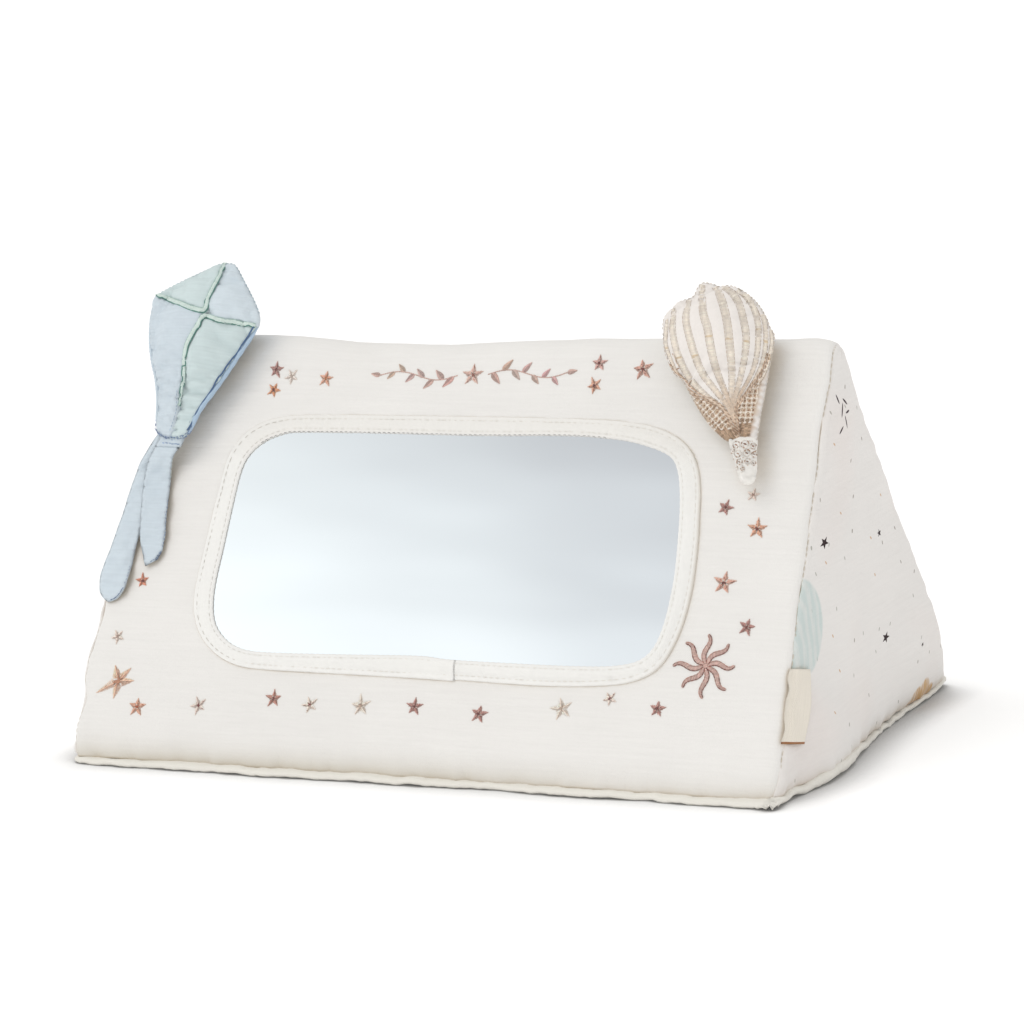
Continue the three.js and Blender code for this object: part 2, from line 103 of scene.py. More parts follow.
def back_frame(v):
    v = np.asarray(v, float)
    phi = PHI_B + np.maximum(v - S_B, 0) / R
    flat = v <= S_B
    y = np.where(flat, DEPTH / 2 - CB * v, CY + R * np.cos(phi))
    z = np.where(flat, SB * v, CZ + R * np.sin(phi))
    ny = np.where(flat, SB, np.cos(phi))
    nz = np.where(flat, CB, np.sin(phi))
    return y, z, ny, nz


def on_slope(frame_of, x, v, n):
    y, z, ny, nz = frame_of(v)
    x = np.asarray(x, float) + 0 * y
    return np.stack([x, y + n * ny, z + n * nz], -1)


def panel(x, s, n):
    """Front panel's flat frame: x, s up the slope, n outwards, as row-frame millimetres."""
    x, s, n = np.broadcast_arrays(np.asarray(x, float), np.asarray(s, float), np.asarray(n, float))
    return np.stack([x, -DEPTH / 2 + CF * s - SF * n, SF * s + CF * n], -1)


# ------------------------------------------------------------------ small mathematics
def smooth(t):
    t = np.clip(t, 0, 1)
    return t * t * (3 - 2 * t)


def bump1(t, centre, width):
    return np.exp(-(((t - centre) / width) ** 2))


class Noise:
    """A smooth field of unit spread: a sum of waves with seeded directions and lengths."""

    def __init__(self, seed, low, high, n=18, stretch=(1.0, 1.0)):
        g = np.random.default_rng(seed)
        self.k = 2 * np.pi / g.uniform(low, high, n)
        a = g.uniform(0, 2 * np.pi, n)
        self.a, self.b = np.cos(a) * stretch[0], np.sin(a) * stretch[1]
        self.p = g.uniform(0, 2 * np.pi, n)
        self.s = math.sqrt(2 / n)

    def __call__(self, u, v=0.0):
        u, v = np.broadcast_arrays(np.asarray(u, float), np.asarray(v, float))
        out = np.zeros(u.shape)
        for k, a, b, p in zip(self.k, self.a, self.b, self.p):
            out += np.cos(k * (a * u + b * v) + p)
        return out * self.s


def closed_spline(points, n):
    """n points evenly along a closed Catmull-Rom curve."""
    p = np.asarray(points, float)
    m_ = len(p)
    out = []
    for i in range(m_):
        a, b, c, d = p[i - 1], p[i], p[(i + 1) % m_], p[(i + 2) % m_]
        t = np.linspace(0, 1, 24, endpoint=False)[:, None]
        out.append(0.5 * (2 * b + (c - a) * t + (2 * a - 5 * b + 4 * c - d) * t**2 + (3 * b - a - 3 * c + d) * t**3))
    return even(np.vstack(out), n, closed=True)


def open_spline(points, n):
    p = np.asarray(points, float)
    p = np.vstack([2 * p[0] - p[1], p, 2 * p[-1] - p[-2]])
    out = []
    for i in range(1, len(p) - 2):
        a, b, c, d = p[i - 1], p[i], p[i + 1], p[i + 2]
        t = np.linspace(0, 1, 24, endpoint=False)[:, None]
        out.append(0.5 * (2 * b + (c - a) * t + (2 * a - 5 * b + 4 * c - d) * t**2 + (3 * b - a - 3 * c + d) * t**3))
    out.append(p[-2][None])
    return even(np.vstack(out), n, closed=False)


def even(line, n, closed):
    q = np.vstack([line, line[:1]]) if closed else line
    d = np.r_[0, np.cumsum(np.linalg.norm(np.diff(q, axis=0), axis=1))]
    t = np.linspace(0, d[-1], n, endpoint=not closed)
    return np.stack([np.interp(t, d, q[:, j]) for j in range(q.shape[1])], 1)


def relax(loop, times):
    p = loop.copy()
    for _ in range(times):
        p = 0.5 * p + 0.25 * (np.roll(p, 1, 0) + np.roll(p, -1, 0))
    return p


def turned(loop):
    """Anticlockwise."""
    x, y = loop[:, 0], loop[:, 1]
    return loop if (x * np.roll(y, -1) - np.roll(x, -1) * y).sum() > 0 else loop[::-1]


def outward(loop):
    t = np.roll(loop, -1, 0) - np.roll(loop, 1, 0)
    t /= np.linalg.norm(t, axis=1)[:, None]
    return np.stack([t[:, 1], -t[:, 0]], 1)


def line_distance(p, line, closed=False):
    """(distance, place along in mm) of points to a polyline."""
    q = np.vstack([line, line[:1]]) if closed else np.asarray(line, float)
    best = np.full(len(p), 1e9)
    place = np.zeros(len(p))
    done = 0.0
    for a, b in zip(q[:-1], q[1:]):
        ab = b - a
        long = math.hypot(*ab)
        t = np.clip(((p - a) @ ab) / max(long * long, 1e-12), 0, 1)
        d = np.hypot(p[:, 0] - a[0] - t * ab[0], p[:, 1] - a[1] - t * ab[1])
        near = d < best
        best[near] = d[near]
        place[near] = done + t[near] * long
        done += long
    return best, place


def inside(p, loop):
    x, y = p[:, 0], p[:, 1]
    out = np.zeros(len(p), bool)
    for (x0, y0), (x1, y1) in zip(loop, np.roll(loop, -1, 0)):
        if y0 == y1:
            continue
        cross = ((y0 > y) != (y1 > y)) & (x < (x1 - x0) * (y - y0) / (y1 - y0) + x0)
        out ^= cross
    return out


def signed(p, loop):
    """Distance outside a closed line, negative inside."""
    d, _ = line_distance(p, loop, closed=True)
    return np.where(inside(p, loop), -d, d)


# ------------------------------------------------------------------ meshes
def quads(i, j, closed_i=False, closed_j=False, offset=0):
    a = np.arange(i * j).reshape(i, j) + offset
    b = np.roll(a, -1, 0) if closed_i else a[1:]
    a0 = a if closed_i else a[:-1]
    if closed_j:
        return [tuple(q) for q in np.stack([a0, b, np.roll(b, -1, 1), np.roll(a0, -1, 1)], -1).reshape(-1, 4).tolist()]
    return [
        tuple(q)
        for q in np.stack([a0[:, :-1], b[:, :-1], b[:, 1:], a0[:, 1:]], -1).reshape(-1, 4).tolist()
    ]


def normals_of(v, faces):
    n = np.zeros_like(v)
    for size in (3, 4):
        f = np.array([q for q in faces if len(q) == size])
        if not len(f):
            continue
        if size == 3:
            c = np.cross(v[f[:, 1]] - v[f[:, 0]], v[f[:, 2]] - v[f[:, 0]])
        else:
            c = np.cross(v[f[:, 2]] - v[f[:, 0]], v[f[:, 3]] - v[f[:, 1]])
        for k in range(size):
            np.add.at(n, f[:, k], c)
    return n / np.maximum(np.linalg.norm(n, axis=1), 1e-12)[:, None]


def shell(v, faces, thick):
    """A closed body from an open sheet: the sheet, its copy moved in by thick, and the rim."""
    n = normals_of(v, faces)
    count = len(v)
    seen = {}
    for f in faces:
        for a, b in zip(f, f[1:] + f[:1]):
            seen[(a, b)] = True
    rim = [(b, a, a + count, b + count) for (a, b) in seen if (b, a) not in seen]
    out = list(faces) + [tuple(i + count for i in f[::-1]) for f in faces] + rim
    return np.vstack([v, v - n * thick]), out


def make(name, v, faces, material, uv=None, colour=None, floats=None, face_material=None, smooth_shade=True):
    me = bpy.data.meshes.new(name)
    me.from_pydata((np.asarray(v) * MM).tolist(), [], faces)
    me.update()
    if uv is not None:
        layer = me.uv_layers.new(name="cloth")
        index = np.zeros(len(me.loops), np.int32)
        me.loops.foreach_get("vertex_index", index)
        layer.data.foreach_set("uv", np.asarray(uv, np.float32)[index].ravel())
    if colour is not None:
        c = me.color_attributes.new("tint", "FLOAT_COLOR", "POINT")
        c.data.foreach_set("color", np.c_[np.asarray(colour), np.ones(len(v))].astype(np.float32).ravel())
    for key, value in (floats or {}).items():
        a = me.attributes.new(key, "FLOAT", "POINT")
        a.data.foreach_set("value", np.asarray(value, np.float32))
    for one in material if isinstance(material, (list, tuple)) else [material]:
        me.materials.append(one)
    if face_material is not None:
        me.polygons.foreach_set("material_index", np.asarray(face_material, np.int32))
    if smooth_shade:
        me.polygons.foreach_set("use_smooth", np.ones(len(me.polygons), bool))
    ob = bpy.data.objects.new(name, me)
    scene.collection.objects.link(ob)
    return ob


def spindle(path, width, sides=6, flat=0.62, ups=None):
    """A thread or tube along path with the given half widths, closed at both ends. Returns vertices and faces."""
    p = np.asarray(path, float)
    w = np.broadcast_to(np.asarray(width, float), (len(p),))
    t = np.gradient(p, axis=0)
    t /= np.linalg.norm(t, axis=1)[:, None]
    u = np.broadcast_to(np.array([0, 0, 1.0]) if ups is None else np.asarray(ups, float), p.shape)
    side = np.cross(t, u)
    side /= np.maximum(np.linalg.norm(side, axis=1), 1e-9)[:, None]
    u = np.cross(side, t)
    a = np.linspace(0, 2 * np.pi, sides, endpoint=False)
    ring = (
        p[:, None]
        + w[:, None, None] * (np.cos(a)[None, :, None] * side[:, None] + flat * np.sin(a)[None, :, None] * u[:, None])
    )
    v = ring.reshape(-1, 3)
    f = quads(len(p), sides, closed_j=True)
    f = [q[::-1] for q in f]
    first, last = len(v), len(v) + 1
    v = np.vstack([v, p[:1], p[-1:]])
    for i in range(sides):
        j = (i + 1) % sides
        f.append((first, i, j))
        f.append((last, (len(p) - 1) * sides + j, (len(p) - 1) * sides + i))
    return v, f


class Bag:
    """Gathers many small closed bodies into one mesh."""

    def __init__(self):
        self.v, self.f, self.c, self.m, self.uv, self.n = [], [], [], [], [], 0

    def add(self, v, f, colour=(1, 1, 1), material=0, uv=None):
        self.v.append(v)
        self.f += [tuple(i + self.n for i in q) for q in f]
        self.c.append(np.broadcast_to(np.asarray(colour, float), (len(v), 3)))
        self.uv.append(np.zeros((len(v), 2)) if uv is None else uv)
        self.m += [material] * len(f)
        self.n += len(v)

    def make(self, name, material, **more):
        return make(
            name, np.vstack(self.v), self.f, material,
            colour=np.vstack(self.c), uv=np.vstack(self.uv), face_material=self.m, **more,
        )


# ------------------------------------------------------------------ materials
def lin(*c):
    c = [x / 255 for x in c]
    return [x / 12.92 if x <= 0.04045 else ((x + 0.055) / 1.055) ** 2.4 for x in c]


class Shade:
    """A material's node tree, with short names for the nodes that are used."""

    def __init__(self, name, rough=0.9, spec=0.2, sheen=0.0, metal=0.0):
        self.mat = bpy.data.materials.new(name)
        self.mat.use_nodes = True
        self.t = self.mat.node_tree
        self.b = self.t.nodes["Principled BSDF"]
        self.b.inputs["Roughness"].default_value = rough
        self.b.inputs["Specular IOR Level"].default_value = spec
        self.b.inputs["Sheen Weight"].default_value = sheen
        self.b.inputs["Sheen Roughness"].default_value = 0.5
        self.b.inputs["Metallic"].default_value = metal

    def put(self, socket, value):
        if isinstance(value, bpy.types.NodeSocket):
            self.t.links.new(value, socket)
        elif isinstance(value, (list, tuple)) and len(value) == 3 and socket.type == "RGBA":
            socket.default_value = (*value, 1)
        else:
            socket.default_value = value

    def math(self, op, a, b=None, c=None, clamp=False):
        n = self.t.nodes.new("ShaderNodeMath")
        n.operation = op
        n.use_clamp = clamp
        for i, x in enumerate((a, b, c)):
            if x is not None:
                self.put(n.inputs[i], x)
        return n.outputs[0]

    def uv(self):
        n = self.t.nodes.new("ShaderNodeUVMap")
        n.uv_map = "cloth"
        return n.outputs[0]

    def obj(self):
        return self.t.nodes.new("ShaderNodeTexCoord").outputs["Object"]

    def scaled(self, vector, scale, rot=0.0, loc=(0, 0, 0)):
        n = self.t.nodes.new("ShaderNodeMapping")
        self.put(n.inputs["Vector"], vector)
        n.inputs["Scale"].default_value = scale if isinstance(scale, tuple) else (scale,) * 3
        n.inputs["Rotation"].default_value = (0, 0, rot)
        n.inputs["Location"].default_value = loc
        return n.outputs[0]

    def noise(self, vector, scale=1.0, detail=2.0, rough=0.5, dims="3D"):
        n = self.t.nodes.new("ShaderNodeTexNoise")
        n.noise_dimensions = dims
        self.put(n.inputs["Vector"], vector)
        n.inputs["Scale"].default_value = scale
        n.inputs["Detail"].default_value = detail
        n.inputs["Roughness"].default_value = rough
        return n.outputs["Fac"]

    def split(self, vector):
        n = self.t.nodes.new("ShaderNodeSeparateXYZ")
        self.put(n.inputs[0], vector)
        return n.outputs

    def attr(self, name):
        n = self.t.nodes.new("ShaderNodeAttribute")
        n.attribute_name = name
        return n.outputs["Fac"]

    def near(self, distance, low=0.45, high=1.0):
        """0 in a narrow gap between things, 1 in the open: an ambient-occlusion factor that is used to paint shade into
        colours.
        """
        n = self.t.nodes.new("ShaderNodeAmbientOcclusion")
        n.samples = 6
        n.inputs["Distance"].default_value = distance
        return self.ramp(n.outputs["AO"], low, high)

    def tint(self):
        n = self.t.nodes.new("ShaderNodeAttribute")
        n.attribute_name = "tint"
        return n.outputs["Color"]

    def mix(self, fac, a, b, kind="MIX"):
        n = self.t.nodes.new("ShaderNodeMix")
        n.data_type = "RGBA"
        n.blend_type = kind
        self.put(n.inputs["Factor"], fac)
        self.put(n.inputs[6], a)
        self.put(n.inputs[7], b)
        return n.outputs[2]

    def ramp(self, x, lo, hi, a=0.0, b=1.0):
        n = self.t.nodes.new("ShaderNodeMapRange")
        n.clamp = True
        self.put(n.inputs["Value"], x)
        for key, value in (("From Min", lo), ("From Max", hi), ("To Min", a), ("To Max", b)):
            n.inputs[key].default_value = value
        return n.outputs["Result"]

    def bump(self, height, distance, strength=1.0, normal=None):
        n = self.t.nodes.new("ShaderNodeBump")
        n.inputs["Distance"].default_value = distance
        n.inputs["Strength"].default_value = strength
        self.put(n.inputs["Height"], height)
        if normal is not None:
            self.put(n.inputs["Normal"], normal)
        return n.outputs["Normal"]

    def colour(self, value):
        self.put(self.b.inputs["Base Color"], value)

    def normal(self, value):
        self.put(self.b.inputs["Normal"], value)

    def weave(self, uv, pitch, fill=1.0):
        """A plain weave's height, 0 to 1, of threads pitch mm apart."""
        k = math.pi / pitch
        u, v, _ = self.split(uv)
        a = self.math("SINE", self.math("MULTIPLY", u, k))
        b = self.math("SINE", self.math("MULTIPLY", v, k))
        return self.math("MULTIPLY_ADD", self.math("MULTIPLY", a, b), 0.5, 0.5)


def cloth(name, rgb, pitch=0.42, weave=0.00006, slub=0.00012, crease=0.00035, spread=0.03, rough=0.92, sheen=0.08,
          slub_scale=(0.035, 0.9), crease_scale=(0.05, 0.12)):
    """Woven cotton: threads, slubs that run across, soft creases, and a slight change of tone."""
    s = Shade(name, rough=rough, spec=0.15, sheen=sheen)
    uv = s.uv()
    weave_h = s.weave(uv, pitch)
    slubs = s.noise(s.scaled(uv, (slub_scale[0], slub_scale[1], 1)), 1.0, 3.0, 0.55, "2D")
    threads = s.noise(s.scaled(uv, (slub_scale[1], slub_scale[0], 1), loc=(7, 3, 0)), 1.0, 2.0, 0.5, "2D")
    soft = s.noise(s.scaled(uv, (crease_scale[0], crease_scale[1], 1), loc=(31, 17, 0)), 1.0, 3.0, 0.55, "2D")
    broad = s.noise(s.scaled(uv, 0.02, loc=(5, 9, 0)), 1.0, 2.0, 0.5, "2D")
    tone = s.math("ADD", s.math("MULTIPLY", s.math("SUBTRACT", slubs, 0.5), 1.2), s.math("SUBTRACT", broad, 0.5))
    tone = s.math("ADD", tone, s.math("MULTIPLY", s.math("SUBTRACT", threads, 0.5), 0.2))
    fac = s.math("MULTIPLY_ADD", tone, 1.0, 0.5, clamp=True)
    dark = [c * (1 - 2.0 * spread) for c in rgb]
    light = [min(1.0, c * (1 + spread)) for c in rgb]
    s.colour(s.mix(fac, dark, light))
    n = s.bump(soft, crease)
    n = s.bump(slubs, slub, 1.0, n)
    n = s.bump(threads, slub * 0.3, 1.0, n)
    n = s.bump(weave_h, weave, 1.0, n)
    s.normal(n)
    return s


def thread(name, rgb=None, rough=0.55, sheen=0.15, twist=0.0):
    """Glossy embroidery thread; the colour comes from the mesh's tint where rgb is left out."""
    s = Shade(name, rough=rough, spec=0.45, sheen=sheen)
    n = s.noise(s.scaled(s.obj(), 1000), 2.2, 2.0)
    base = s.tint() if rgb is None else rgb
    s.colour(s.mix(s.ramp(n, 0.3, 0.75), s.mix(1.0, base, (0.90, 0.88, 0.87), "MULTIPLY"), base))
    s.normal(s.bump(n, 0.00008))
    return s.mat


CREAM = lin(233, 231, 228)
cream_s = cloth("cream_cotton", CREAM, spread=0.018, slub_scale=(0.03, 0.7))
# painted shade: near the foot seam (attribute foot) the cloth is mixed towards beige, a painted shadow of the roll
# above the base lip
cream_with_painted_foot_shade = cream_s.mix(cream_s.math("MULTIPLY", cream_s.attr("foot"), 0.72), cream_s.b.inputs["Base Color"].links[0].from_socket,
                      lin(207, 202, 190))
# painted shade: an ambient-occlusion factor darkens the cloth to warm brown in gaps and beside the toys, a painted
# contact shadow
cream_s.colour(cream_s.mix(cream_s.near(0.011, 0.42, 0.88), cream_s.mix(1.0, cream_with_painted_foot_shade, (0.80, 0.73, 0.64), "MULTIPLY"), cream_with_painted_foot_shade))
cream = cream_s.mat
lining = cloth("cotton_lining", lin(233, 230, 222), spread=0.02).mat
bind_s = cloth("binding_tape", lin(238, 237, 234), pitch=0.5, crease=0.0002, spread=0.015, slub_scale=(0.25, 0.6))
# the tape is mixed a little darker along the window's upper side
bind_c = bind_s.mix(bind_s.attr("upper_side_darker"), bind_s.b.inputs["Base Color"].links[0].from_socket, lin(233, 231, 227))
# painted shadow: the tape's outer edge on its right side is mixed towards a warm grey (attribute rim)
bind_s.colour(bind_s.mix(bind_s.attr("rim"), bind_c, lin(214, 208, 198)))
bind_mat = bind_s.mat
mint = cloth("mint_fabric", lin(207, 221, 222), pitch=0.5, slub=0.00016, crease=0.0006, spread=0.035,
             crease_scale=(0.16, 0.3)).mat
blue = cloth("blue_fabric", lin(206, 217, 225), pitch=0.5, slub=0.00016, crease=0.0006, spread=0.035,
             crease_scale=(0.14, 0.32)).mat
# painted light: a lighter copy of the blue cloth for the kite's top right quarter, which turns away from the light
blue_painted_lit = cloth("blue_fabric_painted_lit", lin(213, 224, 231), pitch=0.5, slub=0.00016, crease=0.0007, spread=0.035,
                 crease_scale=(0.14, 0.32)).mat
back_blue = cloth("deep_blue_fabric", lin(176, 197, 217), pitch=0.5, slub=0.00016, crease=0.0005, spread=0.05).mat
white_mat = cloth("white_fabric", lin(241, 238, 233), pitch=0.45, slub=0.0002, crease=0.0006, spread=0.02,
                  crease_scale=(0.3, 0.3)).mat
tape_mat = cloth("woven_tape", lin(234, 227, 215), pitch=0.7, weave=0.00014, slub=0.0001, crease=0.0002,
                 spread=0.03).mat
brown_edge = thread("label_edge", lin(158, 108, 66), rough=0.7)
embroidery = thread("embroidery_thread")
piping_mat = thread("mint_piping_cord", lin(217, 234, 228), rough=0.6)


def printed_cotton():
    """Cotton with a sparse print: small stars, ticks and dots, and a few larger soft motifs on the right end."""
    s = cloth("printed_cotton", lin(231, 228, 225), spread=0.015)
    base = s.b.inputs["Base Color"].links[0].from_socket
    uv = s.uv()
    ink = base

    def cells(pitch, seed):
        n = s.t.nodes.new("ShaderNodeTexVoronoi")
        n.voronoi_dimensions = "2D"
        n.feature = "F1"
        n.inputs["Randomness"].default_value = 0.75
        n.inputs["Scale"].default_value = 1.0
        q = s.scaled(uv, 1 / pitch, loc=(seed * 3.7, seed * 1.9, 0))
        s.put(n.inputs["Vector"], q)
        d = s.t.nodes.new("ShaderNodeVectorMath")
        d.operation = "SUBTRACT"
        s.put(d.inputs[0], q)
        s.put(d.inputs[1], n.outputs["Position"])
        dx, dy, _ = s.split(d.outputs[0])
        r, g, b = (s.split(n.outputs["Color"])[i] for i in range(3))
        return s.math("MULTIPLY", dx, pitch), s.math("MULTIPLY", dy, pitch), r, g, b

    def star(dx, dy, turn, outer, inner):
        r = s.math("SQRT", s.math("ADD", s.math("MULTIPLY", dx, dx), s.math("MULTIPLY", dy, dy)))
        a = s.math("ADD", s.math("ARCTAN2", dy, dx), turn)
        k = 2 * math.pi / 5
        w = s.math("ABSOLUTE", s.math("SUBTRACT", s.math("FLOORED_MODULO", s.math("ADD", a, k / 2), k), k / 2))
        px = s.math("MULTIPLY", r, s.math("COSINE", w))
        py = s.math("MULTIPLY", r, s.math("SINE", w))
        nx, ny = inner * math.cos(math.pi / 5), inner * math.sin(math.pi / 5)
        f = s.math("SUBTRACT", s.math("MULTIPLY", py, nx - outer), s.math("MULTIPLY", s.math("SUBTRACT", px, outer), ny))
        return s.ramp(f, -0.05, 0.12)

    def tick(dx, dy, turn, long, wide):
        c, q = s.math("COSINE", turn), s.math("SINE", turn)
        u = s.math("ADD", s.math("MULTIPLY", dx, c), s.math("MULTIPLY", dy, q))
        v = s.math("SUBTRACT", s.math("MULTIPLY", dy, c), s.math("MULTIPLY", dx, q))
        e = s.math("SQRT", s.math("ADD", s.math("POWER", s.math("ABSOLUTE", s.math("DIVIDE", u, long)), 2.0),
                                  s.math("POWER", s.math("ABSOLUTE", s.math("DIVIDE", v, wide)), 2.0)))
        return s.ramp(e, 0.85, 1.15, 1.0, 0.0)

    # ticks and dots
    dx, dy, r, g, b = cells(15.5, 1)
    mark = tick(dx, dy, s.math("MULTIPLY_ADD", g, 1.6, 0.9), 0.95, 0.42)
    mark = s.math("MULTIPLY", mark, s.math("LESS_THAN", r, 0.62))
    shade = s.mix(s.math("GREATER_THAN", b, 0.5), lin(120, 108, 96), lin(160, 160, 150))
    shade = s.mix(s.math("GREATER_THAN", g, 0.78), shade, lin(196, 150, 96))
    ink = s.mix(s.math("MULTIPLY", mark, 0.8), ink, shade)
    # stars
    dx, dy, r, g, b = cells(36, 5)
    mark = s.math("MULTIPLY", star(dx, dy, s.math("MULTIPLY", g, 6.28), 2.7, 1.15), s.math("LESS_THAN", r, 0.5))
    mark = s.math("MULTIPLY", mark, s.math("SUBTRACT", 1.0, s.attr("motifs")))
    shade = s.mix(s.math("GREATER_THAN", b, 0.75), lin(54, 38, 38), lin(176, 132, 92))
    ink = s.mix(s.math("MULTIPLY", mark, 0.92), ink, shade)
    # soft blush
    blush = s.noise(s.scaled(uv, 0.018, loc=(11, 4, 0)), 1.0, 1.0, 0.4, "2D")
    ink = s.mix(s.ramp(blush, 0.56, 0.8, 0.0, 0.16), ink, lin(226, 205, 198))

    # larger motifs, placed on the right end only
    u, v, _ = s.split(uv)
    end = s.attr("motifs")

    def disc(cu, cv, r, soft=0.5, ku=1.0, kv=1.0):
        a = s.math("MULTIPLY", s.math("SUBTRACT", u, cu), ku)
        b_ = s.math("MULTIPLY", s.math("SUBTRACT", v, cv), kv)
        d = s.math("SQRT", s.math("ADD", s.math("MULTIPLY", a, a), s.math("MULTIPLY", b_, b_)))
        return s.ramp(d, r - soft, r + soft, 1.0, 0.0)

    # a pale mint crescent beside the front seam, brushed
    brushed = s.noise(s.scaled(uv, (0.5, 0.09, 1), rot=0.4), 1.0, 3.0, 0.6, "2D")
    moon = s.math("MULTIPLY", disc(-69.0, 67.5, 20.4, 0.7), end)
    arc = s.math("SQRT", s.math("ADD", s.math("POWER", s.math("ABSOLUTE", s.math("SUBTRACT", u, -98.0)), 2.0),
                                s.math("MULTIPLY", s.math("POWER", s.math("ABSOLUTE", s.math("SUBTRACT", v, 62.0)), 2.0), 0.55)))
    arc = s.math("SINE", s.math("MULTIPLY_ADD", brushed, 4.5, s.math("MULTIPLY", arc, 1.15)))
    moon = s.math("MULTIPLY", moon, s.ramp(s.math("ADD", arc, s.math("MULTIPLY", brushed, 1.2)), -0.4, 1.3, 0.55, 0.92))
    ink = s.mix(moon, ink, lin(200, 211, 209))
    # a gold cloud low at the back corner
    puffs = None
    for cu, cv, rr in ((63.5, 2.8, 7.2), (71.5, 6.5, 5.6), (55.5, 1.0, 4.2), (78.5, 4.0, 4.2)):
        p = disc(cu, cv, rr, 0.6)
        puffs = p if puffs is None else s.math("MAXIMUM", puffs, p)
    puffs = s.math("MULTIPLY", s.math("MULTIPLY", puffs, end), s.ramp(brushed, 0.3, 0.7, 0.6, 0.95))
    ink = s.mix(s.math("MULTIPLY", puffs, s.ramp(brushed, 0.36, 0.54, 0.55, 1.0)), ink, lin(196, 154, 96))
    # four fine plum strokes near the top
    for cu, cv, turn, long in ((-14, 149, 1.1, 3.2), (-11.0, 143.5, 1.9, 3.0), (-17, 141, 0.5, 2.6), (-10, 152, 2.5, 2.4), (-8.5, 147.5, 0.1, 2.2), (-17, 154, 2.1, 2.4)):
        a = s.math("SUBTRACT", u, cu)
        b_ = s.math("SUBTRACT", v, cv)
        ink = s.mix(s.math("MULTIPLY", tick(a, b_, turn, long, 0.5), end), ink, lin(60, 44, 50))
    for cu, cv, turn, outer in ((-40.5, 97.3, 0.35, 3.5), (17.4, 43.5, 0.1, 3.3), (19.0, 89.5, 0.9, 2.4), (60.0, 30.5, 0.6, 1.5)):
        a = s.math("SUBTRACT", u, cu)
        b_ = s.math("SUBTRACT", v, cv)
        a, b_ = s.math("MULTIPLY", a, 1 / 1.28), s.math("MULTIPLY", b_, 1 / 0.8)
        ink = s.mix(s.math("MULTIPLY", star(a, b_, turn, outer, outer * 0.42), end), ink, lin(50, 34, 36))
    # painted shade: an ambient-occlusion factor darkens the print to warm brown in gaps and beside other parts, a
    # painted contact shadow
    s.colour(s.mix(s.near(0.011, 0.42, 0.88), s.mix(1.0, ink, (0.82, 0.76, 0.68), "MULTIPLY"), ink))
    return s.mat


printed = printed_cotton()


def plain_soft(name, rgb, scale, depth):
    s = Shade(name, rough=0.95, spec=0.1)
    n = s.noise(s.scaled(s.obj(), 1000), scale, 4.0, 0.65)
    s.colour(s.mix(n, [c * 0.86 for c in rgb], rgb))
    s.normal(s.bump(n, depth))
    return s.mat


foam_mat = plain_soft("foam", lin(236, 228, 200), 0.9, 0.0006)
wad_mat = plain_soft("wadding", lin(244, 243, 239), 0.35, 0.0012)
felt_mat = plain_soft("felt_backing", lin(207, 202, 191), 1.6, 0.0004)


def mirror_material():
    s = Shade("mirror_film", rough=0.03, spec=0.5, metal=1.0)
    w = s.noise(s.scaled(s.obj(), (9, 26, 26)), 1.0, 1.0, 0.4)
    s.colour(s.mix(w, (0.955, 0.97, 0.975), (0.97, 0.98, 0.985)))
    s.normal(s.bump(w, 0.00025))
    return s.mat


mirror_mat = mirror_material()

# ------------------------------------------------------------------ the mirror's outlines, in (x, s)
WINDOW_IN = [(-107.4, 67.1), (-110.3, 77.4), (-110.6, 88), (-109.9, 98.3), (-109.1, 113.5), (-108.4, 125.9),
             (-107.4, 137.5), (-104.6, 145.3), (-97.4, 152.1), (-89.5, 155.1), (-82.5, 156.4), (-40, 156.6),
             (10.4, 156.3), (49.1, 156.9), (69.3, 156.2), (86, 154.1), (102, 148.8), (107, 142.0), (109.2, 133.7),
             (110.8, 122.8), (112, 106), (112.3, 92.6), (110.6, 74.3), (106.2, 62.5), (96.5, 57.1), (73.1, 55.2),
             (15.8, 55.3), (-2, 56.4), (-40, 55.4), (-75.6, 54.7), (-90, 55.5), (-100, 59.5)]
BAND_OUT = [(120.7, 110.2), (119.5, 124.0), (118.4, 135.0), (114.9, 146.6), (108.3, 154.6), (98.0, 160.2), (82, 163.6), (49, 164.9),
            (-11.9, 165.1), (-60, 165.0), (-85, 164.4), (-99, 161.6), (-108.5, 156), (-114.2, 148), (-117, 137),
            (-118.6, 118), (-120.3, 98), (-121, 77.5), (-116.4, 64.2), (-107, 54.4), (-94, 48.6), (-80, 47.2),
            (-61, 47), (14.3, 46.9), (16.5, 47.0), (60, 46.4), (90.8, 48.3), (103.5, 51.8), (111.4, 57.5),
            (117.6, 71), (120.7, 89.4)]
band_in = relax(turned(closed_spline(WINDOW_IN, 760)), 12)
band_out_fine = relax(turned(closed_spline(BAND_OUT, 760)), 12)


def cast(from_, direction, loop):
    """Distance along each direction to a closed line outside."""
    a, b = loop, np.roll(loop, -1, 0)
    e = b - a
    out = np.zeros(len(from_))
    for i, (p, d) in enumerate(zip(from_, direction)):
        den = d[0] * e[:, 1] - d[1] * e[:, 0]
        w = a - p
        t = (w[:, 0] * e[:, 1] - w[:, 1] * e[:, 0]) / np.where(abs(den) < 1e-9, 1e-9, den)
        k = (w[:, 0] * d[1] - w[:, 1] * d[0]) / np.where(abs(den) < 1e-9, 1e-9, den)
        ok = (t > 0.5) & (k >= -1e-6) & (k <= 1 + 1e-6)
        out[i] = t[ok].min() if ok.any() else 9.0
    return out


